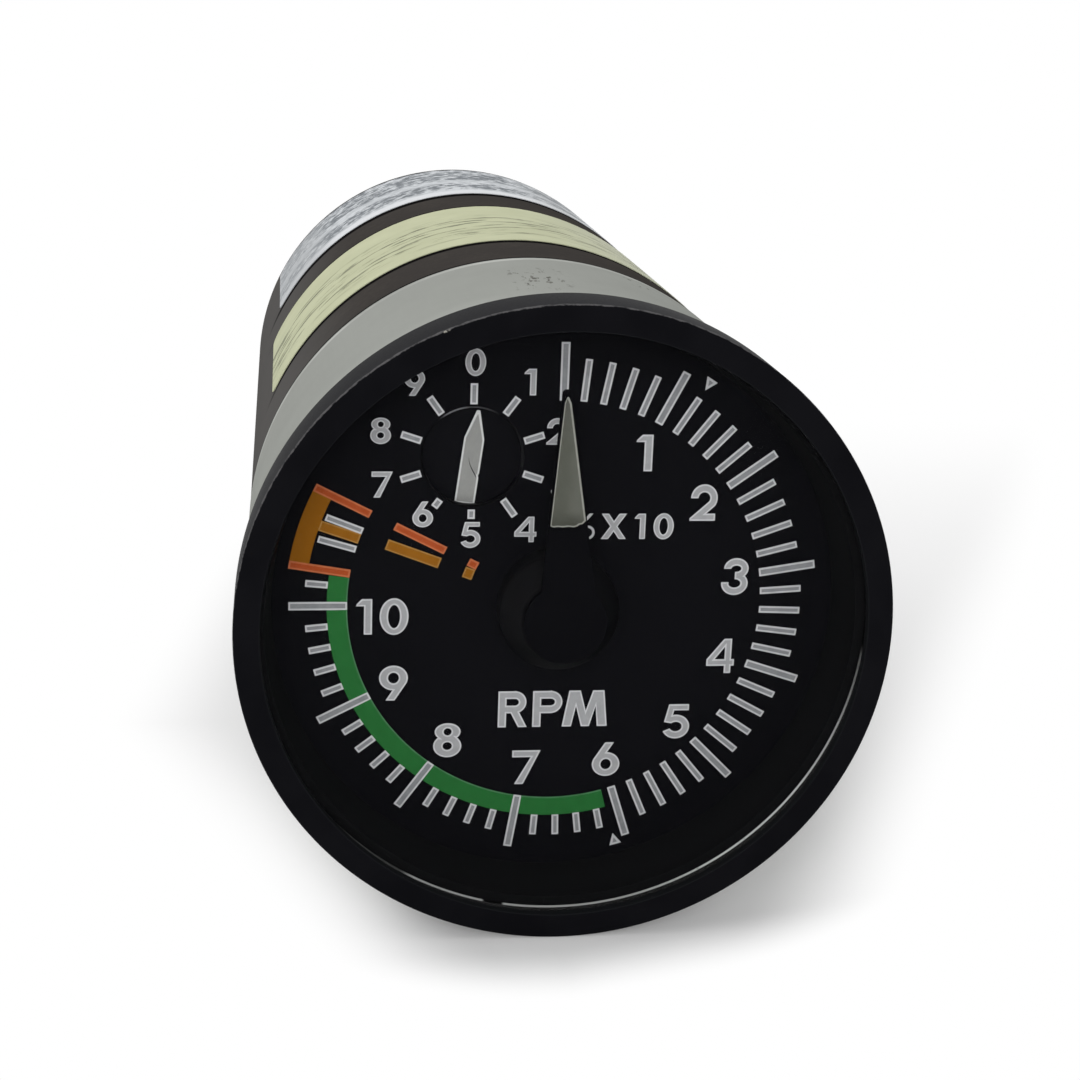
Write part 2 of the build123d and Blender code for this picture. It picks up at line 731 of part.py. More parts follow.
with BuildPart() as front_pillars:
    stacked_pillars(front_plate_back, middle_plate_face)
save(front_pillars, "front_pillars")

with BuildPart() as drag_pillars:
    stacked_pillars(middle_plate_back, motor_plate_face)
save(drag_pillars, "drag_pillars")

with BuildPart() as motor_pillars:
    stacked_pillars(motor_plate_back, end_plate_face)
save(motor_pillars, "motor_pillars")

with BuildPart() as rear_standoffs:
    stacked_pillars(end_plate_back, rear_wall_face, studs=False)
save(rear_standoffs, "rear_standoffs")

# Slotted screws: three in the front plate, three through the rear wall into the standoffs
with BuildPart() as front_plate_screws:
    head_front = front_plate_face - SCREW_HEAD_HEIGHT
    pillar_discs(SCREW_HEAD_RADIUS, head_front, front_plate_face)
    pillar_discs(STUD_RADIUS, front_plate_face, front_plate_back + STUD_GRIP)
    with BuildSketch(station(head_front + SLOT_DEPTH)):
        with pillar_locations():
            Rectangle(2 * SCREW_HEAD_RADIUS, SLOT_WIDTH)
    extrude(amount=SLOT_DEPTH, mode=Mode.SUBTRACT)
save(front_plate_screws, "front_plate_screws")

with BuildPart() as chassis_screws:
    head_back = BODY_END + SCREW_HEAD_HEIGHT
    pillar_discs(SCREW_HEAD_RADIUS, BODY_END, head_back)
    pillar_discs(STUD_RADIUS, rear_wall_face - STUD_GRIP, BODY_END)
    with BuildSketch(station(head_back)):
        with pillar_locations():
            Rectangle(2 * SCREW_HEAD_RADIUS, SLOT_WIDTH)
    extrude(amount=SLOT_DEPTH, mode=Mode.SUBTRACT)
save(chassis_screws, "chassis_screws")

# Gears: tooth phases follow from the main gear, so both meshes start in step
idler_direction = degrees(atan2(idler_z, idler_x))
vernier_direction = degrees(atan2(VERNIER_Z - idler_z, VERNIER_X - idler_x))
idler_phase = meshed_phase(PINION_TEETH, MAIN_TEETH, 0, idler_direction)
vernier_phase = meshed_phase(PINION_TEETH, IDLER_TEETH, idler_phase, vernier_direction)
main_gear_back = main_gear_face + GEAR_THICKNESS
with BuildPart() as main_gear:
    with BuildSketch(station(main_gear_back)):
        gear_outline(MAIN_TEETH, 0)
        with PolarLocations(LIGHTENING_OFFSET, LIGHTENING_COUNT):
            Circle(LIGHTENING_RADIUS, mode=Mode.SUBTRACT)
        Circle(STAFF_RADIUS, mode=Mode.SUBTRACT)
    extrude(amount=GEAR_THICKNESS)
    sleeve(HUB_RADIUS, STAFF_RADIUS, main_gear_back, main_gear_back + HUB_LENGTH)
save(main_gear, "main_gear")


def pinion_arbor(place, tip, pinion_middle, phase):
    """Arbor that turns in both gear plates, with its pinion cut from the same bar."""
    shoulder_front = front_plate_back + BUSH_HEAD + END_PLAY
    shoulder_back = middle_plate_face - END_PLAY
    end = middle_plate_back + BUSH_HEAD
    for radius, front, back in ((JOURNAL_RADIUS, tip, end), (ARBOR_RADIUS, shoulder_front, shoulder_back)):
        with BuildSketch(station(back)) as disc:
            with Locations(place):
                Circle(radius)
        extrude(disc.sketch, amount=back - front)
    teeth_back = pinion_middle + PINION_LENGTH / 2
    with BuildSketch(station(teeth_back, place)) as teeth:
        gear_outline(PINION_TEETH, phase)
    extrude(teeth.sketch, amount=PINION_LENGTH)


main_gear_middle = main_gear_face + GEAR_THICKNESS / 2
idler_gear_middle = idler_gear_face + GEAR_THICKNESS / 2
with BuildPart() as idler_arbor:
    pinion_arbor(idler_place, front_plate_face, main_gear_middle, idler_phase)
save(idler_arbor, "idler_arbor")

with BuildPart() as vernier_arbor:
    pinion_arbor(vernier_place, disc_front, idler_gear_middle, vernier_phase)
save(vernier_arbor, "vernier_arbor")

idler_gear_back = idler_gear_face + GEAR_THICKNESS
with BuildPart() as idler_gear:
    with BuildSketch(station(idler_gear_back, idler_place)):
        gear_outline(IDLER_TEETH, idler_phase)
        Circle(ARBOR_RADIUS, mode=Mode.SUBTRACT)
    extrude(amount=GEAR_THICKNESS)
    with BuildSketch(station(idler_gear_back, idler_place)):
        Circle(IDLER_HUB_RADIUS)
        Circle(ARBOR_RADIUS, mode=Mode.SUBTRACT)
    extrude(amount=-IDLER_HUB_LENGTH)
save(idler_gear, "idler_gear")

# Hairspring: a flat spiral of half circles on two centres, from its collet to its stud
spring_inner = SPRING_COLLET_RADIUS + SPRING_COLLET_GAP + SPRING_THICKNESS / 2
spring_growth = SPRING_PITCH / 2
spring_end = spring_inner + spring_growth * (SPRING_HALF_TURNS - 1)
with BuildPart() as hairspring:
    with BuildSketch(station(spring_face + SPRING_HEIGHT)):
        for half in range(SPRING_HALF_TURNS):
            radius = spring_inner + spring_growth * half
            centre = (spring_growth * (half % 2), 0)
            inner, outer = radius - SPRING_THICKNESS / 2, radius + SPRING_THICKNESS / 2
            ring_sector(inner, outer, 180 * half - 90, 180 * half + 90, centre)
    extrude(amount=SPRING_HEIGHT)
save(hairspring, "hairspring")

with BuildPart() as hairspring_collet:
    middle = spring_face + SPRING_HEIGHT / 2
    half_length = SPRING_COLLET_LENGTH / 2
    sleeve(SPRING_COLLET_RADIUS, STAFF_RADIUS, middle - half_length, middle + half_length)
save(hairspring_collet, "hairspring_collet")

stud_end = spring_face + SPRING_HEIGHT + SPRING_STUD_LIP
with BuildPart() as hairspring_stud:
    with BuildSketch(station(stud_end)):
        with Locations((-spring_end, 0)):
            Circle(SPRING_STUD_RADIUS)
    extrude(amount=stud_end - front_plate_back)
    with BuildSketch(station(stud_end)):
        with Locations((-spring_end, 0)):
            Rectangle(SPRING_THICKNESS, 2 * SPRING_STUD_RADIUS)
    extrude(amount=stud_end - spring_face, mode=Mode.SUBTRACT)
save(hairspring_stud, "hairspring_stud")

# Drag cup on the end of the staff, with the spinning magnet inside it and the flux ring outside
cup_bore = CUP_RADIUS - CUP_WALL
with BuildPart() as drag_cup:
    turned(
        (STAFF_RADIUS, cup_face - CUP_HUB_LENGTH),
        (CUP_HUB_RADIUS, cup_face - CUP_HUB_LENGTH),
        (CUP_HUB_RADIUS, cup_face),
        (CUP_RADIUS, cup_face),
        (CUP_RADIUS, cup_face + CUP_DEPTH),
        (cup_bore, cup_face + CUP_DEPTH),
        (cup_bore, cup_face + CUP_WALL),
        (STAFF_RADIUS, cup_face + CUP_WALL),
    )
save(drag_cup, "drag_cup")

with BuildPart() as drag_magnet:
    with BuildSketch(station(magnet_face + MAGNET_LENGTH)):
        Circle(magnet_radius)
        Circle(SHAFT_RADIUS, mode=Mode.SUBTRACT)
        with PolarLocations(magnet_radius, MAGNET_POLES):
            Circle(MAGNET_GROOVE, mode=Mode.SUBTRACT)
    extrude(amount=MAGNET_LENGTH)
save(drag_magnet, "drag_magnet")

flux_bore = CUP_RADIUS + FLUX_GAP
with BuildPart() as flux_ring:
    sleeve(flux_bore + FLUX_WALL, flux_bore, magnet_face, motor_plate_face)
save(flux_ring, "flux_ring")

# Motor: shaft and slotted rotor in a wound six-pole stator, inside a plain tube
motor_middle = (motor_plate_back + end_plate_face) / 2
rotor_front = motor_middle - ROTOR_LENGTH / 2
rotor_back = motor_middle + ROTOR_LENGTH / 2
with BuildPart() as rotor_shaft:
    sleeve(SHAFT_RADIUS, 0, magnet_face, end_plate_back + SHAFT_TAIL)
save(rotor_shaft, "rotor_shaft")

with BuildPart() as rotor:
    hub_front = motor_plate_back + BUSH_HEAD + END_PLAY
    hub_back = end_plate_face - END_PLAY
    sleeve(ROTOR_HUB_RADIUS, SHAFT_RADIUS, hub_front, hub_back)
    with BuildSketch(station(rotor_back)):
        Circle(rotor_radius)
        Circle(SHAFT_RADIUS, mode=Mode.SUBTRACT)
        with PolarLocations(rotor_radius, ROTOR_SLOT_COUNT):
            Rectangle(2 * ROTOR_SLOT_DEPTH, ROTOR_SLOT_WIDTH, mode=Mode.SUBTRACT)
    extrude(amount=rotor_back - rotor_front)
save(rotor, "rotor")

stator_front = motor_middle - STATOR_LENGTH / 2
stator_back = motor_middle + STATOR_LENGTH / 2
pole_step = 360 / STATOR_POLES
with BuildPart() as stator_core:
    with BuildSketch(station(stator_back)):
        Circle(stator_radius)
        Circle(yoke_bore, mode=Mode.SUBTRACT)
        for pole in range(STATOR_POLES):
            turn = pole * pole_step
            ring_sector(shoe_bore, shoe_back, turn - SHOE_HALF_ANGLE, turn + SHOE_HALF_ANGLE)
            radial_bar(90 - turn, shoe_bore + SHOE_DEPTH / 2, stator_radius - STATOR_YOKE / 2, POLE_WIDTH)
    extrude(amount=stator_back - stator_front)
save(stator_core, "stator_core")

coil_front = shoe_back + COIL_MARGIN
with BuildPart() as coil:
    with BuildSketch(Plane((0, motor_middle, coil_front), x_dir=(1, 0, 0), z_dir=(0, 0, 1))):
        RectangleRounded(POLE_WIDTH + 2 * COIL_BUILD, STATOR_LENGTH + 2 * COIL_BUILD, COIL_CORNER)
        Rectangle(POLE_WIDTH + 2 * COIL_MARGIN, STATOR_LENGTH + 2 * COIL_MARGIN, mode=Mode.SUBTRACT)
    extrude(amount=yoke_bore - COIL_MARGIN - coil_front)
    with BuildSketch(station(motor_middle)):
        Circle(yoke_bore - COIL_MARGIN)
    extrude(amount=STATOR_LENGTH, both=True, mode=Mode.INTERSECT)

with BuildPart() as stator_coils:
    for pole in range(STATOR_POLES):
        add(coil.part.rotate(Axis.Y, pole * pole_step))
save(stator_coils, "stator_coils")

with BuildPart() as motor_housing:
    sleeve(motor_radius, stator_radius, motor_plate_back, end_plate_face)
save(motor_housing, "motor_housing")

# Receptacle: gasket, flanged shell with a threaded barrel, insert, pins and four screws
with BuildPart() as connector_gasket:
    with BuildSketch(station(receptacle_face)):
        RectangleRounded(CONNECTOR_FLANGE, CONNECTOR_FLANGE, CONNECTOR_CORNER)
        Circle(shell_spigot_radius + SHELL_SPIGOT_CLEARANCE, mode=Mode.SUBTRACT)
        with GridLocations(connector_hole_spacing, connector_hole_spacing, 2, 2):
            Circle(CONNECTOR_SCREW_RADIUS + STUD_CLEARANCE, mode=Mode.SUBTRACT)
    extrude(amount=CONNECTOR_GASKET_THICKNESS)
save(connector_gasket, "connector_gasket")

with BuildPart() as connector_shell:
    with BuildSketch(station(thread_face)):
        RectangleRounded(CONNECTOR_FLANGE, CONNECTOR_FLANGE, CONNECTOR_CORNER)
        Circle(SOCKET_RADIUS, mode=Mode.SUBTRACT)
        with GridLocations(connector_hole_spacing, connector_hole_spacing, 2, 2):
            Circle(CONNECTOR_SCREW_RADIUS + STUD_CLEARANCE, mode=Mode.SUBTRACT)
    extrude(amount=CONNECTOR_FLANGE_THICKNESS)
    sleeve(THREAD_RADIUS, SOCKET_RADIUS, thread_face, thread_end)
    sleeve(shell_spigot_radius, SOCKET_RADIUS, shell_back, receptacle_face)
    with BuildSketch(station(thread_end)):
        with Locations((0, SOCKET_RADIUS)):
            Rectangle(KEY_WIDTH, 2 * KEY_HEIGHT)
        Circle(SOCKET_RADIUS, mode=Mode.INTERSECT)
    extrude(amount=thread_end - insert_face)
save(connector_shell, "connector_shell")

with BuildPart() as connector_insert:
    with BuildSketch(station(insert_face)):
        Circle(SOCKET_RADIUS)
        with PolarLocations(PIN_OFFSET, PIN_COUNT, start_angle=90):
            Circle(PIN_RADIUS, mode=Mode.SUBTRACT)
    extrude(amount=INSERT_LENGTH)
save(connector_insert, "connector_insert")

pin_tip = insert_face + PIN_REACH
with BuildPart() as connector_pins:
    with BuildSketch(station(pin_tip)):
        with PolarLocations(PIN_OFFSET, PIN_COUNT, start_angle=90):
            Circle(PIN_RADIUS)
    extrude(amount=pin_tip - shell_back + PIN_TAIL)
    chamfer(connector_pins.edges().filter_by(GeomType.CIRCLE).group_by(Axis.Y)[-1], PIN_CHAMFER)
save(connector_pins, "connector_pins")

with BuildPart() as connector_screws:
    screw_back = thread_face + CONNECTOR_HEAD_HEIGHT
    with BuildSketch(station(screw_back)):
        with GridLocations(connector_hole_spacing, connector_hole_spacing, 2, 2):
            Circle(CONNECTOR_HEAD_RADIUS)
    extrude(amount=CONNECTOR_HEAD_HEIGHT)
    with BuildSketch(station(thread_face)):
        with GridLocations(connector_hole_spacing, connector_hole_spacing, 2, 2):
            Circle(CONNECTOR_SCREW_RADIUS)
    extrude(amount=thread_face - rear_wall_face)
    with BuildSketch(station(screw_back)):
        with GridLocations(connector_hole_spacing, connector_hole_spacing, 2, 2):
            Rectangle(2 * CONNECTOR_HEAD_RADIUS, SLOT_WIDTH)
    extrude(amount=SLOT_DEPTH, mode=Mode.SUBTRACT)
save(connector_screws, "connector_screws")
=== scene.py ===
from math import atan2, cos, degrees, pi, radians, sin

import bmesh
import bpy
from mathutils import Matrix, Vector


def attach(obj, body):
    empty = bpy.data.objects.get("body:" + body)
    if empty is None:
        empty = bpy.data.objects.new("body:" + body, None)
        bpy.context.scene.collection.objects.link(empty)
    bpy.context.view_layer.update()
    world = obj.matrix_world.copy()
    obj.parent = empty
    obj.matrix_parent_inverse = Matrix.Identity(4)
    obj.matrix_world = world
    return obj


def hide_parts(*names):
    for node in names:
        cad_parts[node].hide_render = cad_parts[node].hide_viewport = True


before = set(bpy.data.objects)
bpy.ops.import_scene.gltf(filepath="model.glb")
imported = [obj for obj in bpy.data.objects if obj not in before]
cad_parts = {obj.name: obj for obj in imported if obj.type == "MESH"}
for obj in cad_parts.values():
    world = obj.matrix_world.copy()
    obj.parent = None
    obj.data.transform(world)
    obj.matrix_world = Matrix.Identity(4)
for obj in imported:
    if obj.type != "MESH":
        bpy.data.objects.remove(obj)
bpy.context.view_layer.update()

# The view: the instrument lies with its dial towards the camera, which looks down on it from the
# front left, close enough for the long case to taper away behind the bezel.
MM = 0.001
scene = bpy.context.scene
lens = bpy.data.cameras.new("camera")
lens.lens = 64.765
lens.sensor_width = 36.0
lens.clip_start = 0.01
lens.clip_end = 100.0
camera = bpy.data.objects.new("camera", lens)
camera.location = (-0.025549, -0.171077, 0.056963)
camera.rotation_euler = (radians(73.8868), radians(-1.9679), radians(-7.2335))
scene.collection.objects.link(camera)
scene.camera = camera
scene.view_settings.view_transform = "Standard"


def tone(red, green, blue):
    """Linear colour of an sRGB one written in 0 to 255."""
    parts = [level / 255 for level in (red, green, blue)]
    return [level / 12.92 if level <= 0.04045 else ((level + 0.055) / 1.055) ** 2.4 for level in parts]


class Shade:
    """One output of a finish's nodes, which takes part in sums."""

    def __init__(self, finish, socket):
        self.finish = finish
        self.socket = socket

    def math(self, operation, *values):
        """An operation on the values, which needn't include this one."""
        return self.finish.node("ShaderNodeMath", {"operation": operation}, dict(enumerate(values)))[0]

    def __add__(self, other):
        return self.math("ADD", self, other)

    __radd__ = __add__

    def __sub__(self, other):
        return self.math("SUBTRACT", self, other)

    def __rsub__(self, other):
        return self.math("SUBTRACT", other, self)

    def __mul__(self, other):
        return self.math("MULTIPLY", self, other)

    __rmul__ = __mul__

    def __pow__(self, other):
        return self.math("POWER", self, other)

    def largest(self, other):
        """The larger of two values."""
        return self.math("MAXIMUM", self, other)

    def ramp(self, low, high):
        """0 below low, 1 above high and a smooth rise between them."""
        settings = {"interpolation_type": "SMOOTHSTEP"}
        inputs = {"Value": self, "From Min": low, "From Max": high}
        return self.finish.node("ShaderNodeMapRange", settings, inputs)[0]

    def between(self, low, high, soft):
        """1 between low and high, with soft edges."""
        return self.ramp(low - soft, low + soft) * (1 - self.ramp(high - soft, high + soft))


class Wiring:
    """The nodes of one material or of the surround, and the links between them."""

    def __init__(self, tree):
        self.tree = tree
        self.place = None

    def feed(self, socket, value):
        """Link or set one socket, a colour being sRGB in 0 to 255."""
        if isinstance(value, Shade):
            self.tree.links.new(value.socket, socket)
        elif socket.type == "RGBA":
            socket.default_value = (*tone(*value), 1.0)
        else:
            socket.default_value = value

    def node(self, kind, settings=None, inputs=None):
        """Add a node: its settings first, then its sockets. Returns its outputs."""
        made = self.tree.nodes.new(kind)
        for key, value in (settings or {}).items():
            setattr(made, key, value)
        for key, value in (inputs or {}).items():
            self.feed(made.inputs[key], value)
        return [Shade(self, output) for output in made.outputs]

    def where(self):
        """The point on the surface, in millimetres from the instrument's origin."""
        if self.place is None:
            inputs = {0: self.node("ShaderNodeTexCoord")[3], "Scale": 1 / MM}
            self.place = self.node("ShaderNodeVectorMath", {"operation": "SCALE"}, inputs)[0]
        return self.place

    def axes(self, point=None):
        """X, Y and Z of the point, in millimetres."""
        return self.node("ShaderNodeSeparateXYZ", {}, {0: point or self.where()})

    def stretched(self, *factors):
        """The point with each axis scaled, for grain that runs one way."""
        return self.node("ShaderNodeVectorMath", {"operation": "MULTIPLY"}, {0: self.where(), 1: factors})[0]

    def noise(self, grain, detail=3.0, roughness=0.55, point=None):
        """Soft noise whose grain is that many millimetres."""
        inputs = {"Vector": point or self.where(), "Scale": 1 / grain, "Detail": detail}
        return self.node("ShaderNodeTexNoise", {}, {**inputs, "Roughness": roughness})[0]

    def mix(self, share, first, second):
        """Colour between two others."""
        return self.node("ShaderNodeMix", {"data_type": "RGBA"}, {0: share, 6: first, 7: second})[2]

    def layers(self, color, *coats):
        """A colour with others laid over it, each with its share."""
        for share, other in coats:
            color = self.mix(share, color, other)
        return color


class Finish(Wiring):
    """A material of one principled shader, and the nodes that vary it over the surface."""

    def __init__(self, name, **constants):
        self.material = bpy.data.materials.new(name)
        self.material.use_nodes = True
        super().__init__(self.material.node_tree)
        self.shader = self.tree.nodes["Principled BSDF"]
        for socket, value in constants.items():
            self.feed(self.shader.inputs[socket.replace("_", " ").title().replace("Ior", "IOR")], value)

    def vary(self, socket, value):
        """Feed one of the shader's own sockets."""
        self.feed(self.shader.inputs[socket], value)

    def coat(self, color, roughness, height, strength, depth):
        """Colour, roughness, and a surface raised by a height to a depth in millimetres."""
        self.vary("Base Color", color)
        self.vary("Roughness", roughness)
        inputs = {"Strength": strength, "Distance": depth * MM, "Height": height}
        self.vary("Normal", self.node("ShaderNodeBump", {}, inputs)[0])


# The studio: a plain white floor that the bezel rests on, a white surround, and soft light from two
# large lamps, one overhead at the left and one in front. The floor is plain white away from the
# object, and near it takes the object's shadow.
FLOOR_HEIGHT = -30.15
FLOOR_REACH = 30000.0
SHADOW_LEFT, SHADOW_FAR_LEFT, SHADOW_RIGHT, SHADOW_FRONT, SHADOW_BACK = -10.0, -38.5, 20.0, -8.5, 90.0
SHADOW_LEFT_SLANT, SHADOW_FAR_SLANT, SHADOW_RIGHT_SLANT, SHADOW_FRONT_SLANT = 0.42, 0.15, 0.5, 0.3
SHADOW_TRAIL, SHADOW_HASTE = 0.12, 1.6
SHADOW_REACH = 16.0
SHADOW_SHARE = 0.88
FLOOR_WHITE = 249.31
AMBIENT = 0.5
WHITE = (255, 255, 255)
LAMPS = (("lamp_above", (-0.20, 0.20, 0.50), 0.44, 1.55), ("lamp_front", (-0.10, -0.60, 0.26), 0.40, 1.5))
LAMP_AIM = Vector((0, 0.03, 0))
CAMERA_RAY, GLOSSY_RAY, TRANSMISSION_RAY = 0, 3, 6
floor_mesh = bpy.data.meshes.new("floor")
corners = [(x * FLOOR_REACH, y * FLOOR_REACH, FLOOR_HEIGHT) for x, y in ((-1, -1), (1, -1), (1, 1), (-1, 1))]
floor_mesh.from_pydata([Vector(corner) * MM for corner in corners], [], [(0, 1, 2, 3)])
floor = bpy.data.objects.new("floor", floor_mesh)
scene.collection.objects.link(floor)
look = Finish("floor_paper", base_color=[FLOOR_WHITE] * 3, roughness=0.9, specular_ior_level=0.1)
across, along, _ = look.axes()
past_right = across - SHADOW_RIGHT - along * SHADOW_RIGHT_SLANT
past_left = SHADOW_LEFT - across - along * SHADOW_LEFT_SLANT
past_left = past_left.largest(SHADOW_FAR_LEFT - across + along * SHADOW_FAR_SLANT)
beside = past_right.largest(past_left).largest(0.0)
before = ((SHADOW_FRONT + across.largest(0.0) * SHADOW_FRONT_SLANT - along) * SHADOW_HASTE).largest(0.0)
behind = ((along - SHADOW_BACK) * SHADOW_TRAIL).largest(0.0)
away = (beside**2 + before**2 + behind**2) ** 0.5
paths = look.node("ShaderNodeLightPath")
seen = paths[CAMERA_RAY].largest(paths[GLOSSY_RAY])
glow = look.node("ShaderNodeEmission", {}, {"Color": WHITE, "Strength": 1.0})[0]
shaded = Shade(look, look.shader.outputs[0])
share = 1 - SHADOW_SHARE * (1 - away.ramp(0.0, SHADOW_REACH))
shown = look.node("ShaderNodeMixShader", {}, {0: seen * share, 1: shaded, 2: glow})[0]
look.feed(look.tree.nodes["Material Output"].inputs["Surface"], shown)
floor_mesh.materials.append(look.material)

world = bpy.data.worlds.new("studio")
world.use_nodes = True
scene.world = world
surround = Wiring(world.node_tree)
paths = surround.node("ShaderNodeLightPath")
seen = paths[CAMERA_RAY].largest(paths[GLOSSY_RAY]).largest(paths[TRANSMISSION_RAY])
surround.feed(surround.tree.nodes["Background"].inputs["Color"], WHITE)
surround.feed(surround.tree.nodes["Background"].inputs["Strength"], AMBIENT + seen * (1 - AMBIENT))

for name, spot, size, watts in LAMPS:
    lamp = bpy.data.lights.new(name, "AREA")
    lamp.shape = "DISK"
    lamp.size = size
    lamp.energy = watts
    lamp_object = bpy.data.objects.new(name, lamp)
    lamp_object.location = spot
    lamp_object.rotation_euler = (LAMP_AIM - Vector(spot)).to_track_quat("-Z", "Y").to_euler()
    scene.collection.objects.link(lamp_object)


# The case: one drawn can. Its front is left bare and grey for the panel clamp, with a few rubbed
# marks, and the rest is painted dark. The rear corner is rounded, and a wall closes the rear.
LAND_RADIUS, LAND_LENGTH = 29.25, 28.3
BODY_RADIUS, BODY_END = 29.2, 123.2
CASE_EDGE = 1.6
SPIGOT_RADIUS, SPIGOT_LENGTH = 28.75, 2.0
BAY_RADIUS, SEAT_RADIUS, SEAT_BACK, REAR_WALL = 27.0, 27.9, 3.35, 2.0
BARE_GREY, BARE_DULL = (157, 159, 154), (148, 150, 145)
BARE_PAINTED_SHEEN, BARE_RIM, BARE_RUBBED = (186, 187, 182), (200, 201, 197), (66, 62, 56)
DARK_PAINT, DARK_PAINT_WORN, LEFT_PAINTED_SHEEN = (62, 59, 57), (74, 70, 66), (108, 107, 106)
EDGE_PAINTED_SHADE = (12, 12, 13)
RUBS = ((-3.6, 1.2, 8.0, 20.5), (9.4, 11.4, 21.0, 27.0))
YELLOW_START, YELLOW_WIDTH, YELLOW_FIRST, YELLOW_LAST = 42.3, 31.6, -66.5, 60.0
SILVER_START, SILVER_WIDTH, SILVER_FIRST, SILVER_LAST = 89.2, 30.8, -63.0, 56.0
LABEL_EDGE_SHADE_BANDS = (
    (YELLOW_START - 1.6, YELLOW_START + 0.1),
    (YELLOW_START + YELLOW_WIDTH - 0.1, YELLOW_START + YELLOW_WIDTH + 1.2),
    (SILVER_START - 2.4, SILVER_START + 0.1),
)


def outline(*corners):
    """Closed outline through (x, y) corners, and (x, y, rounding) ones drawn as short chords."""
    points = []
    for index, (x, y, *rounding) in enumerate(corners):
        here = Vector((x, y))
        if not rounding:
            points.append(here)
            continue
        start = here + (Vector(corners[index - 1][:2]) - here).normalized() * rounding[0]
        end = here + (Vector(corners[(index + 1) % len(corners)][:2]) - here).normalized() * rounding[0]
        for step in range(6):
            share = step / 5
            points.append(start * (1 - share) ** 2 + here * 2 * share * (1 - share) + end * share**2)
    return points


def finished_mesh(work, name, crease=32):
    """Close a bmesh: outward faces, smooth shading with sharp edges kept."""
    bmesh.ops.remove_doubles(work, verts=work.verts, dist=0.0004 * MM)
    bmesh.ops.recalc_face_normals(work, faces=work.faces)
    mesh = bpy.data.meshes.new(name)
    work.to_mesh(mesh)
    work.free()
    mesh.shade_smooth()
    mesh.set_sharp_from_angle(angle=radians(crease))
    return mesh

def ring(work, radius, y, steps, centre=(0.0, 0.0)):
    """Vertices round the axis, or round a line beside it."""
    angles = [2 * pi * step / steps for step in range(steps)]
    points = [(centre[0] + radius * sin(a), y, centre[1] + radius * cos(a)) for a in angles]
    return [work.verts.new(Vector(point) * MM) for point in points]


def joined(work, rings, closed=True):
    """Faces from each ring to the next, and from the last to the first."""
    for near, far in zip(rings, rings[1:] + rings[:1] * closed):
        for step in range(len(near)):
            after = (step + 1) % len(near)
            face = list(dict.fromkeys((near[step], near[after], far[after], far[step])))
            if len(face) > 2:
                work.faces.new(face)


def turned(name, corners, steps=180, centre=(0.0, 0.0)):
    """Solid turned about the axis, or a line beside it, from an outline's (radius, station) corners."""
    work = bmesh.new()
    rings = []
    for radius, y in outline(*corners):
        if not radius:
            rings.append([work.verts.new((centre[0] * MM, y * MM, centre[1] * MM))] * steps)
        else:
            rings.append(ring(work, radius, y, steps, centre))
    joined(work, rings)
    return finished_mesh(work, name)


def fit(mesh, look, slot, *nodes, body="housing"):
    """Put a finished piece on its body, in place of the nodes it stands for."""
    piece = bpy.data.objects.new(mesh.name, mesh)
    scene.collection.objects.link(piece)
    mesh.materials.append(look.material)
    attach(piece, body)
    if nodes:
        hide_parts(*nodes)


look = Finish("bare_and_painted_case", specular_ior_level=0.0)
across, along, up = look.axes()
painted = along.ramp(LAND_LENGTH - 0.12, LAND_LENGTH + 0.12)
clouds = look.noise(9.0, 4.0)
brushed = look.noise(0.5, 4.0, 0.6, look.stretched(1.0, 0.05, 1.0))
specks = look.noise(0.6, 2.0)
bare = look.layers(
    look.mix((clouds * 0.8 + brushed * 0.2 - 0.1).ramp(0.1, 0.9), BARE_DULL, BARE_GREY),
    # Painted sheen: the bare land is lighter for 9 mm behind the bezel and in a band at its very front.
    ((1 - along.ramp(0.0, 9.0)) * 0.35 + along.between(-0.2, 0.9, 0.2) * 0.3, BARE_PAINTED_SHEEN),
    (along.between(LAND_LENGTH - 1.3, LAND_LENGTH - 0.4, 0.3) * clouds.ramp(0.3, 0.6) * 0.6, BARE_RIM),
)
curls = look.noise(1.0, 4.0, 0.65, look.stretched(1.5, 0.45, 1.5)).ramp(0.56, 0.64) * up.ramp(0, 4)
for left, right, front, back in RUBS:
    rub = curls * across.between(left, right, 0.9) * along.between(front, back, 2.0)
    bare = look.mix(rub * 0.75, bare, BARE_RUBBED)
paint = look.mix((clouds * 0.6 + specks * 0.5 - 0.2).ramp(0.2, 0.8), DARK_PAINT, DARK_PAINT_WORN)
# Painted sheen: the paint is lighter down the left side of the case.
paint = look.mix(0.5 - across.ramp(-28.0, -16.0) * 0.5, paint, LEFT_PAINTED_SHEEN)
# Painted shade: dark lines along the labels' edges on the upper side, a dark band just behind the bare land,
# and a dark rear corner and rear wall.
edge_shade = 0.0
for front, back in LABEL_EDGE_SHADE_BANDS:
    edge_shade = along.between(front, back, 0.25) + edge_shade
edge_shade = edge_shade * up.ramp(9.0, 14.5) + along.between(LAND_LENGTH, LAND_LENGTH + 0.9, 0.25)
edge_shade = edge_shade + along.ramp(BODY_END - 2.2, BODY_END - 1.9)
paint = look.mix(edge_shade * 0.92, paint, EDGE_PAINTED_SHADE)
look.vary("Metallic", (1 - painted) * 0.08)
look.coat(
    look.mix(painted, bare, paint), 0.5 + painted * 0.1 + (clouds - 0.5) * 0.16,
    specks * painted + brushed * (1 - painted) * 0.3, 0.3, 0.02,
)

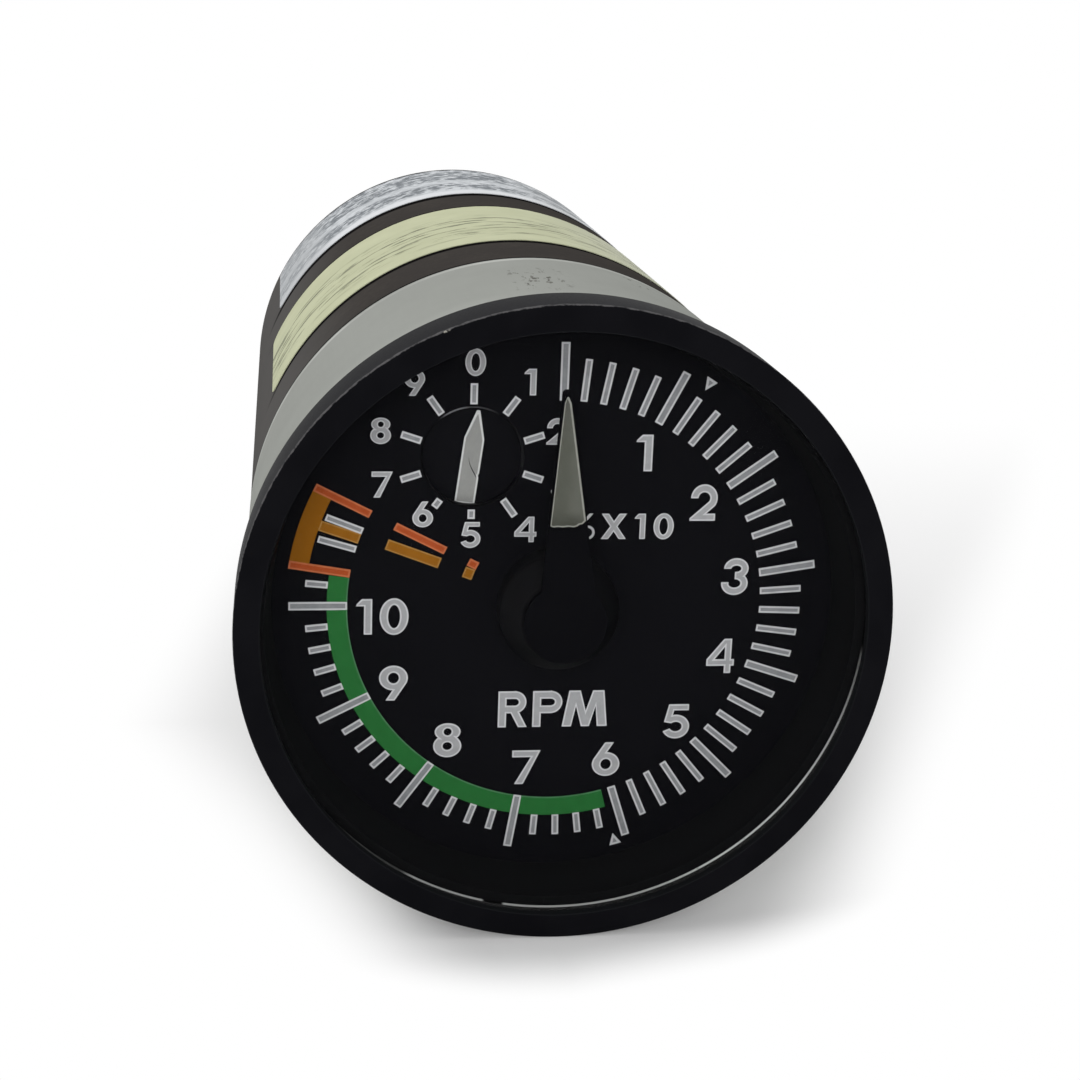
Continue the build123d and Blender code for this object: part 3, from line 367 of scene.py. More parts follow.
case_profile = (
    (0, BODY_END),
    (0, BODY_END - REAR_WALL),
    (BAY_RADIUS, BODY_END - REAR_WALL),
    (BAY_RADIUS, SEAT_BACK),
    (SEAT_RADIUS, SEAT_BACK),
    (SEAT_RADIUS, -SPIGOT_LENGTH),
    (SPIGOT_RADIUS, -SPIGOT_LENGTH),
    (SPIGOT_RADIUS, 0),
    (LAND_RADIUS, 0),
    (LAND_RADIUS, LAND_LENGTH),
    (BODY_RADIUS, LAND_LENGTH + 0.05),
    (BODY_RADIUS, BODY_END, CASE_EDGE),
)
fit(turned("case_shell", case_profile), look, "case_finish", "case")


# The labels: two thin wrapped strips on top of the case, a pale yellow paper one and a silver foil
# one, both blank here. The paper is stained and scuffed, and the foil is mottled where it has rubbed.
LABEL_THICKNESS, LABEL_LIFT, LABEL_CORNER = 0.08, 0.004, 1.6
YELLOW_PAPER, YELLOW_SHADE = (190, 193, 160), (182, 185, 152)
YELLOW_RIGHT_GREY, YELLOW_SCUFFED = (186, 188, 170), (94, 96, 76)
FOIL, FOIL_RUBBED = (192, 196, 200), (104, 109, 114)
FOIL_BORDER, FOIL_SIDE_SHADE = (214, 216, 219), (150, 153, 156)


def wrapped(name, start, width, first, last):
    """Thin strip with rounded corners, bent round the case between two angles from the top."""
    half_arc = radians(last - first) / 2 * BODY_RADIUS
    middle = radians(first + last) / 2
    columns, rows = 72, 10
    work = bmesh.new()
    layers = []
    for radius in (BODY_RADIUS + LABEL_LIFT, BODY_RADIUS + LABEL_THICKNESS):
        grid = []
        for column in range(columns + 1):
            share = 2 * column / columns - 1
            run = half_arc * (share * (1.5 - 0.5 * share * share))
            past = max(0.0, abs(run) - (half_arc - LABEL_CORNER))
            drop = LABEL_CORNER - max(0.0, LABEL_CORNER**2 - past**2) ** 0.5
            angle = middle + run / BODY_RADIUS
            line = []
            for row in range(rows + 1):
                y = start + drop + (width - 2 * drop) * row / rows
                line.append(work.verts.new(Vector((radius * sin(angle), y, radius * cos(angle))) * MM))
            grid.append(line)
        layers.append(grid)
    for grid in layers:
        for near, far in zip(grid, grid[1:]):
            for row in range(rows):
                work.faces.new((near[row], far[row], far[row + 1], near[row + 1]))
    rim = [(column, 0) for column in range(columns)] + [(columns, row) for row in range(rows)]
    rim += [(column, rows) for column in range(columns, 0, -1)] + [(0, row) for row in range(rows, 0, -1)]
    joined(work, [[grid[column][row] for column, row in rim] for grid in layers], closed=False)
    return finished_mesh(work, name)


def round_and_along(finish):
    """Distance round the case from its top, and along it, in millimetres."""
    across, along, up = finish.axes()
    return across.math("ARCTAN2", across, up) * BODY_RADIUS, along


def flat(finish, first, second):
    """A point of two values, for noise laid on a label."""
    return finish.node("ShaderNodeCombineXYZ", {}, {"X": first, "Y": second})[0]


look = Finish("yellow_paper", roughness=0.55, specular_ior_level=0.05)
blotches = look.noise(7.0, 4.0)
fibres = look.noise(0.35, 3.0)
yellow = look.mix((blotches + fibres * 0.3 - 0.15).ramp(0.3, 0.75), YELLOW_SHADE, YELLOW_PAPER)
around, along = round_and_along(look)
scuffs = look.noise(1.0, 4.0, 0.6, flat(look, around * 0.14, along * 0.8)).ramp(0.52, 0.6)
scuffs = scuffs * along.between(YELLOW_START + 5.0, YELLOW_START + 22.0, 2.0) * blotches.ramp(0.3, 0.5)
# The paper is greyer towards the right.
yellow = look.layers(yellow, (around.ramp(2.0, 22.0) * 0.85, YELLOW_RIGHT_GREY), (scuffs * 0.85, YELLOW_SCUFFED))
look.coat(yellow, 0.45 + fibres * 0.2, fibres, 0.3, 0.02)
yellow_mesh = wrapped("yellow_strip", YELLOW_START, YELLOW_WIDTH, YELLOW_FIRST, YELLOW_LAST)
fit(yellow_mesh, look, "yellow_foil", "yellow_label")

look = Finish("silver_foil", roughness=0.4, specular_ior_level=0.1)
around, along = round_and_along(look)
grain = look.noise(1.1, 5.0, 0.65, flat(look, around * 0.8, along * 0.75))
cloud = look.noise(5.0, 3.0)
border = 1 - along.ramp(SILVER_START + 3.0, SILVER_START + 4.6)
# Painted shade: the foil is darker down both sides of the case, more on the left.
side_shade = (1 - around.ramp(-25.0, -19.0)).largest(around.ramp(6.0, 13.0) * 0.7)
rows = along.between(SILVER_START + 5.5, SILVER_START + 13.0, 1.0)
rows = rows.largest(along.ramp(SILVER_START + 16.0, SILVER_START + 18.0))
rubbed_foil_and_rim_glint = (grain * 0.85 + cloud * 0.4 - 0.1).ramp(0.42, 0.6) * (1 - border) * (0.3 + rows * 0.7)
foil = look.layers(FOIL, (rubbed_foil_and_rim_glint, FOIL_RUBBED), (border * 0.7, FOIL_BORDER), (side_shade * 0.7, FOIL_SIDE_SHADE))
look.coat(foil, 0.36 + rubbed_foil_and_rim_glint * 0.25, grain, 0.3, 0.03)
look.vary("Metallic", 0.2 - rubbed_foil_and_rim_glint * 0.15)
silver_mesh = wrapped("silver_strip", SILVER_START, SILVER_WIDTH, SILVER_FIRST, SILVER_LAST)
fit(silver_mesh, look, "silver_foil", "silver_label")


# The bezel: a turned aluminium ring in satin black paint, with a recess for the glass behind its
# lip. Its outer front edge has rubbed a little lighter, and is chipped at the upper left.
BEZEL_RADIUS, BEZEL_DEPTH = 30.15, 6.7
OPENING_RADIUS, LIP_THICKNESS = 27.75, 0.95
RECESS_RADIUS = 28.8
BEZEL_BLACK, BEZEL_CLOUD, BEZEL_PAINTED_SHEEN = (15, 15, 18), (19, 19, 22), (48, 48, 51)
BEZEL_REAR_PAINTED_SHADE, BEZEL_LIP_PAINTED_LIGHT = (7, 7, 8), (27, 28, 30)
BEZEL_WORN, BEZEL_CHIP = (96, 95, 96), (150, 148, 140)
CHIP_ANGLE = radians(-23.0)

look = Finish("satin_black_paint", specular_ior_level=0.008)
across, along, up = look.axes()
radius = look.node("ShaderNodeVectorMath", {"operation": "LENGTH"}, {
    0: look.node("ShaderNodeCombineXYZ", {}, {"X": across, "Z": up})[0],
})[1]
peel = look.noise(0.28, 3.0)
broad = look.noise(6.0, 3.0)
patchy = look.noise(2.2, 4.0, 0.65)
front_edge = radius.ramp(BEZEL_RADIUS - 0.2, BEZEL_RADIUS - 0.02)
front_edge = front_edge * (1 - along.ramp(0.3 - BEZEL_DEPTH, 1.3 - BEZEL_DEPTH))
ragged_edge = look.noise(0.7, 4.0, 0.7)
worn = (front_edge * 0.5 + ragged_edge * 0.8 + patchy * 0.3 - 0.62).ramp(0.28, 0.46)
worn = worn * front_edge.ramp(0.0, 0.2) * 0.75
chip_x, chip_z = BEZEL_RADIUS * sin(CHIP_ANGLE), BEZEL_RADIUS * cos(CHIP_ANGLE)
chip_distance = look.node("ShaderNodeVectorMath", {"operation": "DISTANCE"}, {
    0: look.where(), 1: (chip_x, -BEZEL_DEPTH, chip_z),
})[1]
chip = (1 - (chip_distance + peel * 0.9).ramp(0.6, 0.75)) * front_edge.ramp(0.0, 0.3)
# Painted sheen: the bezel's outer side is lighter than its front.
side_painted_sheen = radius.ramp(BEZEL_RADIUS - 0.1, BEZEL_RADIUS) * (1 - along.ramp(-BEZEL_DEPTH, -0.8))
black = look.layers(
    BEZEL_BLACK,
    (broad.ramp(0.3, 0.7), BEZEL_CLOUD),
    (side_painted_sheen * 0.22, BEZEL_PAINTED_SHEEN),
    # Painted shade: the bezel is darker at its rear edge, where it meets the case, and on its rear face.
    (along.ramp(-0.9, -0.4), BEZEL_REAR_PAINTED_SHADE),
    # Painted light: the inner wall of the opening is lighter than the front.
    (1 - radius.ramp(OPENING_RADIUS, OPENING_RADIUS + 0.15), BEZEL_LIP_PAINTED_LIGHT),
    (worn, BEZEL_WORN),
    (chip, BEZEL_CHIP),
)
look.coat(black, 0.4 + peel * 0.12 + worn * 0.2, peel, 0.3, 0.02)

bezel_profile = (
    (OPENING_RADIUS, -BEZEL_DEPTH, 0.12),
    (BEZEL_RADIUS, -BEZEL_DEPTH, 0.3),
    (BEZEL_RADIUS, 0, 0.15),
    (RECESS_RADIUS, 0),
    (RECESS_RADIUS, LIP_THICKNESS - BEZEL_DEPTH),
    (OPENING_RADIUS, LIP_THICKNESS - BEZEL_DEPTH, 0.08),
)
fit(turned("bezel_ring", bezel_profile, 240), look, "black_paint", "bezel")


# The glass: a flat disc seated on a thin black gasket behind the lip. Its rear edge has a narrow
# ground bevel, painted as a fine bright line round the lower half, a painted glint, broken where it
# is dirty, and dark elsewhere.
GASKET_THICKNESS, GASKET_WIDTH = 0.25, 0.8
GLASS_RADIUS, GLASS_THICKNESS, GLASS_BEVEL, GROUND_WIDTH = 28.7, 1.9, 0.2, 0.15
GLASS_INSET, GLASS_SHORT, BEVEL_DEPTH, EDGE_SHORT, EDGE_LEAD = 0.01, 0.02, 0.1, 0.005, 0.05
glass_front = LIP_THICKNESS + GASKET_THICKNESS - BEZEL_DEPTH
glass_back = glass_front + GLASS_THICKNESS
flat_radius = GLASS_RADIUS - GLASS_BEVEL


def grained(name, pale, dark, grain, roughness, bump, gloss):
    """Finish of two close tones with a fine grain. The roughness is a base and how far it spreads."""
    look = Finish(name, specular_ior_level=gloss)
    marks = look.noise(grain, 3.0)
    base, spread = roughness
    look.coat(look.mix(marks, pale, dark), base + marks * spread, marks, *bump)
    return look


rubber = grained("gasket_rubber", (16, 16, 17), (16, 16, 17), 0.3, (0.7, 0.2), (0.3, 0.02), 0.05)
gasket_profile = (
    (GLASS_RADIUS - GASKET_WIDTH, glass_front - GASKET_THICKNESS),
    (GLASS_RADIUS, glass_front - GASKET_THICKNESS),
    (GLASS_RADIUS, glass_front),
    (GLASS_RADIUS - GASKET_WIDTH, glass_front),
)
fit(turned("gasket_ring", gasket_profile), rubber, "rubber", "glass_gasket")

look = Finish("clear_glass", base_color=WHITE, roughness=0.03)
dust = look.noise(0.3, 2.0).ramp(0.74, 0.8)
slant = look.node("ShaderNodeLayerWeight", {}, {"Blend": 0.5})[1]
look.vary("Alpha", 0.001 + dust * 0.01 + slant**4 * 0.5)
glass_profile = (
    (0, glass_front),
    (flat_radius - GLASS_INSET, glass_front),
    (flat_radius - GLASS_INSET, glass_back - BEVEL_DEPTH - GLASS_INSET),
    (flat_radius - GROUND_WIDTH, glass_back - GLASS_SHORT),
    (0, glass_back - GLASS_SHORT),
)
fit(turned("glass_disc", glass_profile), look, "glass", "glass")

look = Finish("ground_glass_edge", roughness=0.6, specular_ior_level=0.01)
across, along, up = look.axes()
turn = across.math("ARCTAN2", across, up * -1)
edge_grain = look.noise(0.5, 4.0, 0.7)
# Painted glint: the bevel is bright round the lower half only and dark above; gaps and grain break it where
# it is dirty.
edge_painted_glint = turn.between(-0.52, 1.47, 0.03) * (1 - turn.between(-0.245, -0.175, 0.006))
edge_painted_glint = edge_painted_glint * (0.55 + turn.between(0.45, 1.05, 0.2) * 0.3) * (1 - turn.ramp(1.15, 1.47) * 0.7)
edge_painted_glint = (edge_painted_glint + turn.between(-0.8, -0.5, 0.05) * 0.08) * edge_grain.ramp(0.3, 0.36)
bevel = along.ramp(glass_back - BEVEL_DEPTH - 0.04, glass_back - BEVEL_DEPTH)
look.vary("Base Color", look.mix(edge_painted_glint * bevel, (6, 6, 7), (236, 238, 236)))
edge_profile = (
    (flat_radius - GROUND_WIDTH, glass_back - EDGE_SHORT),
    (flat_radius, glass_back - BEVEL_DEPTH),
    (flat_radius, glass_front + EDGE_LEAD),
    (GLASS_RADIUS, glass_front + GLASS_BEVEL),
    (GLASS_RADIUS, glass_back - EDGE_SHORT),
)
fit(turned("glass_edge", edge_profile, 240), look, "glass")


# The reflector: a black ring between the glass and the dial, which hides the dial's edge. It
# narrows a little towards the dial and is anodised matt.
REFLECTOR_FRONT, REFLECTOR_BACK, REFLECTOR_RADIUS, REFLECTOR_STEP = 27.4, 26.77, 27.8, -2.1
DIAL_FACE = 2.55
ring_black = grained("matt_black_ring", (15, 16, 17), (19, 19, 21), 0.4, (0.62, 0.15), (0.08, 0.02), 0.03)
reflector_profile = (
    (REFLECTOR_FRONT, glass_back),
    (GLASS_RADIUS, glass_back),
    (GLASS_RADIUS, REFLECTOR_STEP),
    (REFLECTOR_RADIUS, REFLECTOR_STEP),
    (REFLECTOR_RADIUS, DIAL_FACE),
    (REFLECTOR_BACK, DIAL_FACE),
)
fit(turned("reflector", reflector_profile), ring_black, "black_paint", "reflector_ring")


# The dial: a thin aluminium disc in matt black, with a round window for the vernier. The window's
# bevelled edge is black too, with a painted glint that makes it paler at the top.
DIAL_THICKNESS, DIAL_RADIUS = 0.8, 27.8
VERNIER = (-8.31, 14.34)
WINDOW_RADIUS, WINDOW_BEVEL = 4.62, 0.18
BOSS_SPIGOT_RADIUS = 2.9


def circle(radius, centre=(0.0, 0.0), steps=144):
    """Closed loop of points round a centre."""
    angles = [2 * pi * step / steps for step in range(steps)]
    return [(centre[0] + radius * sin(angle), centre[1] + radius * cos(angle)) for angle in angles]


def sector(inner, outer, first, last):
    """Closed loop round part of a ring, between two angles clockwise from the top."""
    steps = max(2, int((last - first) / 1.5))
    angles = [radians(first + (last - first) * step / steps) for step in range(steps + 1)]
    far = [(outer * sin(angle), outer * cos(angle)) for angle in angles]
    near = [(inner * sin(angle), inner * cos(angle)) for angle in reversed(angles)]
    return far + near


def plate(name, loops, front, back, bevel=0.0):
    """Flat plate facing the front, from an outer loop and loops cut out of it."""
    curve = bpy.data.curves.new(name, "CURVE")
    curve.dimensions = "2D"
    curve.fill_mode = "BOTH"
    curve.extrude = (back - front) / 2 - bevel
    curve.bevel_depth = bevel
    curve.offset = -bevel
    curve.bevel_resolution = 2
    for loop in loops:
        spline = curve.splines.new("POLY")
        spline.points.add(len(loop) - 1)
        for point, (x, z) in zip(spline.points, loop):
            point.co = (x, z, 0, 1)
        spline.use_cyclic_u = True
    template = bpy.data.objects.new(name, curve)
    sheet = bpy.data.meshes.new_from_object(template)
    bpy.data.objects.remove(template)
    work = bmesh.new()
    work.from_mesh(sheet)
    bpy.data.meshes.remove(sheet)
    stand = Matrix.Translation((0, (front + back) / 2, 0)) @ Matrix.Rotation(radians(90), 4, "X")
    bmesh.ops.transform(work, matrix=Matrix.Scale(MM, 4) @ stand, verts=work.verts)
    return finished_mesh(work, name)


look = Finish("matt_black_dial", specular_ior_level=0.03)
dial_cloud = look.noise(8.0, 3.0)
dial_grain = look.noise(0.2, 2.0)
fleck = look.noise(0.16, 1.0).ramp(0.8, 0.84)
dial_color = look.mix(dial_cloud, (6, 6, 10), (9, 9, 13))
look.coat(
    look.mix(fleck * 0.2, dial_color, (60, 62, 66)),
    0.58 + dial_grain * 0.12, dial_grain, 0.2, 0.01,
)
dial_loops = [
    circle(DIAL_RADIUS, steps=180),
    circle(WINDOW_RADIUS + WINDOW_BEVEL, VERNIER),
    circle(BOSS_SPIGOT_RADIUS),
]
fit(plate("dial_disc", dial_loops, DIAL_FACE, DIAL_FACE + DIAL_THICKNESS), look, "black_paint", "dial")

look = Finish("window_wall", specular_ior_level=0.05)
across, along, up = look.axes()
window_grain = look.noise(0.5, 3.0)
turn = across.math("ARCTAN2", across - VERNIER[0], up - VERNIER[1])
# Painted glint: the bevel is paler at the top left, and faintly round the top and right.
rubbed_foil_and_rim_glint = (turn.between(-0.6, -0.12, 0.14) * 0.8).largest(turn.between(-0.35, 0.42, 0.2) * 0.2)
rubbed_foil_and_rim_glint = rubbed_foil_and_rim_glint.largest(turn.between(0.95, 1.85, 0.25) * 0.05) * (0.7 + window_grain * 0.6)
look.coat(
    look.mix(rubbed_foil_and_rim_glint, (9, 9, 11), (140, 140, 144)),
    0.4 + window_grain * 0.1, window_grain, 0.2, 0.02,
)
window_profile = (
    (WINDOW_RADIUS, DIAL_FACE + WINDOW_BEVEL),
    (WINDOW_RADIUS + WINDOW_BEVEL, DIAL_FACE),
    (WINDOW_RADIUS + WINDOW_BEVEL, DIAL_FACE + DIAL_THICKNESS),
    (WINDOW_RADIUS, DIAL_FACE + DIAL_THICKNESS),
)
fit(turned("window_rim", window_profile, 96, VERNIER), look, "black_paint")


# The scale: screen-printed marks, a little raised. The white ones are the model's own, with a duller
# core where the ink lies thick; the green and amber arcs are drawn finer here, and the red limit
# bars close the ends of the amber.
PRINT_THICKNESS = 0.05
SCALE_STEP = 2.7
TICK_INNER, GREEN_OUTER, MAJOR_OUTER, MINOR_OUTER, EXTRA_OUTER = 19.75, 21.65, 25.2, 23.75, 23.4
GREEN_FIRST, GREEN_LAST = 61.1, 102.95
MAJOR_WIDTH, MINOR_WIDTH = 0.8, 0.66
AMBER_INNER, AMBER_OUTER = 23.65, 25.5
LOWER_RED, UPPER_RED, RANGE_BAR_WIDTH = 103.4, 109.9, 0.78
AMBER_BAR, DASHED_AMBER, AMBER_WIDTH, DASH_WIDTH = 107.15, 107.55, 1.0, 1.05
DASHES = ((11.9, 17.2), (8.5, 9.45))
VERNIER_TICKS, VERNIER_SHORT_TICK, VERNIER_TICK_WIDTH = (5.0, 6.95), 5.9, 0.68
CORE_MARGIN, AMBER_MARGIN, CORE_RISE, GREEN_RIM, AMBER_GAP = 0.17, 0.14, 0.012, 0.12, 0.004
INDEX_VALUES, INDEX_CORE, INDEX_HALF = (12, 61), (25.12, 25.64), 0.24
print_face = DIAL_FACE - PRINT_THICKNESS
core_face = print_face - CORE_RISE


def printed(name, pale, dark, glossy=0.04):
    """Ink of a printed colour, slightly uneven where it lies thin."""
    ink = Finish(name, specular_ior_level=glossy)
    thin = ink.noise(0.7, 4.0, 0.6)
    edge = ink.noise(0.12, 2.0)
    color = ink.mix((thin * 0.8 + edge * 0.3).ramp(0.35, 0.8), pale, dark)
    ink.coat(color, 0.5 + edge * 0.15, edge, 0.25, 0.01)
    return ink


def refinish(finish, *nodes):
    """Give the model's own nodes a finish."""
    for node in nodes:
        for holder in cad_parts[node].material_slots:
            holder.material = finish.material


white_ink = printed("white_ink", (210, 211, 213), (200, 201, 203))
core_ink = printed("white_ink_core", (148, 150, 152), (132, 134, 137))
legend_ink = printed("legend_core", (170, 171, 173), (160, 161, 163))
refinish(white_ink, "white_marks")
green_ink = printed("green_ink", (42, 112, 55), (38, 104, 49))
green_edge_ink = printed("green_ink_edge", (84, 136, 96), (70, 118, 80))
amber_ink = printed("amber_ink", (146, 92, 16), (138, 86, 13))
amber_core_ink = printed("amber_ink_core", (152, 98, 26), (143, 90, 20))
amber_edge_ink = printed("amber_ink_edge", (174, 130, 68), (158, 114, 54))
red_ink = printed("red_ink", (198, 114, 74), (182, 102, 64))
red_core_ink = printed("red_ink_core", (178, 82, 43), (164, 71, 32))
refinish(red_ink, "red_marks")


def half_turn(width, radius):
    """Degrees that half a width takes up at a radius."""
    return degrees(width / 2 / radius)


def bar(angle, inner, outer, width, centre=(0.0, 0.0)):
    """Closed loop of a bar that points away from a centre."""
    right = Vector((cos(radians(angle)), -sin(radians(angle)))) * width / 2
    out = Vector((sin(radians(angle)), cos(radians(angle))))
    corners = (out * inner - right, out * outer - right, out * outer + right, out * inner + right)
    return [tuple(corner + Vector(centre)) for corner in corners]


def raised(name, parts, front, back):
    """Flat print of several closed loops, each a separate patch, or a list of loops where one has holes."""
    work = bmesh.new()
    for part in parts:
        loops = part if isinstance(part[0], list) else [part]
        patch = plate(name, loops, front, back)
        work.from_mesh(patch)
        bpy.data.meshes.remove(patch)
    return finished_mesh(work, name)


def core_bar(angle, inner, outer, width, margin=CORE_MARGIN, centre=(0.0, 0.0)):
    """A bar drawn in by a margin all round."""
    return bar(angle, inner + margin, outer - margin, width - 2 * margin, centre)


green_parts, green_rims = [], []
green_stops = [GREEN_FIRST, 70, 80, 90, 100, GREEN_LAST]
green_ease = half_turn(MAJOR_WIDTH, (TICK_INNER + GREEN_OUTER) / 2)
for first, last in zip(green_stops, green_stops[1:]):
    start = first * SCALE_STEP + (0 if first == GREEN_FIRST else green_ease)
    end = last * SCALE_STEP - (0 if last == GREEN_LAST else green_ease)
    green_parts.append(sector(TICK_INNER, GREEN_OUTER, start, end))
    green_rims.append(sector(TICK_INNER, TICK_INNER + GREEN_RIM, start, end))

amber_ease = half_turn(RANGE_BAR_WIDTH, (AMBER_INNER + AMBER_OUTER) / 2)
amber_ends = LOWER_RED * SCALE_STEP + amber_ease, UPPER_RED * SCALE_STEP - amber_ease
amber_arc = sector(AMBER_INNER, AMBER_OUTER, *amber_ends)
amber_marks = [(AMBER_BAR, TICK_INNER, AMBER_INNER - AMBER_GAP, AMBER_WIDTH)]
amber_marks += [(DASHED_AMBER, *dash, DASH_WIDTH) for dash in DASHES]
amber_bars = [bar(value * SCALE_STEP, *size) for value, *size in amber_marks]
amber_cores = [core_bar(value * SCALE_STEP, *size, AMBER_MARGIN) for value, *size in amber_marks]

tens = range(0, 101, 10)
white_cores = [core_bar(value * SCALE_STEP, TICK_INNER, MAJOR_OUTER, MAJOR_WIDTH) for value in tens]
for value in range(2, 103, 2):
    inner = GREEN_OUTER if value > GREEN_FIRST else TICK_INNER
    if value % 10:
        white_cores.append(core_bar(value * SCALE_STEP, inner, MINOR_OUTER, MINOR_WIDTH))
white_cores += [core_bar(value * SCALE_STEP, TICK_INNER, EXTRA_OUTER, MINOR_WIDTH) for value in (106, 108)]
for digit in range(10):
    outer = VERNIER_SHORT_TICK if digit in (5, 6) else VERNIER_TICKS[1]
    white_cores.append(core_bar(36 * digit, VERNIER_TICKS[0], outer, VERNIER_TICK_WIDTH, centre=VERNIER))
for value in INDEX_VALUES:
    turn = radians(value * SCALE_STEP)
    out, right = Vector((sin(turn), cos(turn))), Vector((cos(turn), -sin(turn)))
    inner, outer = (out * reach for reach in INDEX_CORE)
    corners = (inner, outer + right * INDEX_HALF, outer - right * INDEX_HALF)
    white_cores.append([tuple(corner) for corner in corners])
red_bars = [(value, TICK_INNER, AMBER_OUTER) for value in (LOWER_RED, UPPER_RED)]
red_bars += [(UPPER_RED, *dash) for dash in DASHES]
red_cores = [core_bar(value * SCALE_STEP, inner, outer, RANGE_BAR_WIDTH) for value, inner, outer in red_bars]
for name, parts, front, back, ink, slot, *nodes in (
    ("green_range", green_parts, print_face, DIAL_FACE, green_ink, "green_print", "green_arc"),
    ("green_rim", green_rims, core_face, print_face, green_edge_ink, "green_print"),
    ("amber_range", [amber_arc], print_face, DIAL_FACE, amber_ink, "amber_print", "amber_marks"),
    ("amber_bars", amber_bars, print_face, DIAL_FACE, amber_edge_ink, "amber_print"),
    ("white_mark_cores", white_cores, core_face, print_face, core_ink, "white_print"),
    ("red_bar_cores", red_cores, core_face, print_face, red_core_ink, "red_print"),
    ("amber_bar_cores", amber_cores, core_face, print_face, amber_core_ink, "amber_print"),
):
    fit(raised(name, parts, front, back), ink, slot, *nodes)


# The legends: bold upright numerals and letters in white ink, with round bowls and flat ends. The
# percent scale's are large, and those round the vernier window are smaller.
INK_HEIGHT = 0.05
NUMERAL_HEIGHT, SMALL_HEIGHT, LETTER_HEIGHT = 3.5, 2.47, 3.6
NUMERAL_CORE, SMALL_CORE, LETTER_BOLDER = 0.15, 0.11, 0.04


def arc(x, y, across, up, first, last):
    """Points along an arc, in degrees counter-clockwise from the right."""
    steps = max(4, int(abs(last - first) / 7))
    turns = [radians(first + (last - first) * step / steps) for step in range(steps + 1)]
    return [(x + across * cos(turn), y + up * sin(turn)) for turn in turns]


def oval(x, y, across, up):
    """Closed loop of an ellipse."""
    return arc(x, y, across, up, 0, 360)[:-1]


six = [
    arc(0.403, 0.352, 0.40, 0.355, 148.5, 446.7) + [(0.615, 1), (0.365, 1)],
    oval(0.403, 0.352, 0.15, 0.155),
]
SIGNS = {
    "0": [oval(0.378, 0.5, 0.378, 0.517), oval(0.378, 0.5, 0.156, 0.33)],
    "1": [[(0, 0.80), (0.02, 0.86), (0.16, 1), (0.445, 1), (0.445, 0), (0.22, 0), (0.22, 0.80)]],
    "2": [
        arc(0.416, 0.63, 0.375, 0.387, 180, -33)
        + [(0.491, 0.2), (0.745, 0.2), (0.745, 0), (0.03, 0), (0.03, 0.07)]
        + arc(0.416, 0.63, 0.165, 0.167, -33, 180),
    ],
    "3": [
        arc(0.409, 0.725, 0.355, 0.30, 180, -43)
        + arc(0.378, 0.305, 0.385, 0.33, 40.6, -186)
        + arc(0.378, 0.305, 0.175, 0.12, -197, 90)
        + [(0.378, 0.635)]
        + arc(0.409, 0.725, 0.145, 0.09, -90, 180),
    ],
    "4": [
        [
            (0, 0.215), (0, 0.40), (0.49, 1), (0.71, 1), (0.71, 0.405), (0.80, 0.405),
            (0.80, 0.215), (0.71, 0.215), (0.71, 0), (0.52, 0), (0.52, 0.215),
        ],
        [(0.234, 0.405), (0.52, 0.77), (0.52, 0.405)],
    ],
    "5": [
        [(0.185, 1), (0.74, 1), (0.74, 0.82), (0.335, 0.82)]
        + arc(0.394, 0.338, 0.382, 0.352, 104, -157)
        + arc(0.394, 0.338, 0.172, 0.142, -157, 135)
        + [(0.065, 0.477)],
    ],
    "6": six,
    "7": [[(0, 0.80), (0, 1), (0.82, 1), (0.335, 0), (0.08, 0), (0.544, 0.80)]],
    "8": [
        arc(0.404, 0.748, 0.364, 0.252, -43.5, 223.5) + arc(0.40, 0.33, 0.397, 0.33, 132, 408),
        oval(0.404, 0.748, 0.112, 0.107),
        oval(0.40, 0.33, 0.13, 0.115),
    ],
    "9": [[(0.803 - x, 1 - y) for x, y in loop] for loop in six],
    "R": [
        [(0, 0), (0, 1), (0.47, 1)]
        + arc(0.47, 0.70, 0.3225, 0.30, 90, -69)
        + [(0.815, 0), (0.585, 0), (0.362, 0.40), (0.215, 0.40), (0.215, 0)],
        [(0.215, 0.8075)] + arc(0.47, 0.70, 0.1275, 0.1075, 90, -90) + [(0.215, 0.5925)],
    ],
    "P": [
        [(0, 0), (0, 1), (0.49, 1)] + arc(0.49, 0.695, 0.33, 0.305, 90, -90) + [(0.215, 0.39), (0.215, 0)],
        [(0.215, 0.805)] + arc(0.49, 0.695, 0.14, 0.11, 90, -90) + [(0.215, 0.585)],
    ],
    "M": [[
        (0, 0), (0.185, 1), (0.50, 1), (0.675, 0.4), (0.88, 1), (1.19, 1), (1.30, 0),
        (1.03, 0), (0.965, 0.6), (0.78, 0), (0.56, 0), (0.385, 0.6), (0.25, 0),
    ]],
    "X": [[
        (0, 1), (0.288, 1), (0.499, 0.703), (0.71, 1), (0.998, 1), (0.643, 0.5),
        (0.998, 0), (0.71, 0), (0.499, 0.297), (0.288, 0), (0, 0), (0.355, 0.5),
    ]],
}
LEGENDS = [
    ("1", 7.77, 14.81, 1.59), ("2", 13.72, 9.99, 2.6), ("3", 17.16, 2.69, 2.6), ("4", 16.25, -5.35, 2.72),
    ("5", 12.27, -12.03, 2.6), ("6", 5.48, -15.89, 2.72), ("7", -2.35, -16.59, 2.75),
    ("8", -10.06, -13.66, 2.72), ("9", -15.32, -7.75, 2.73),
    ("1", -18.16, -1.1, 1.51), ("0", -15.34, -1.09, 2.72),
]
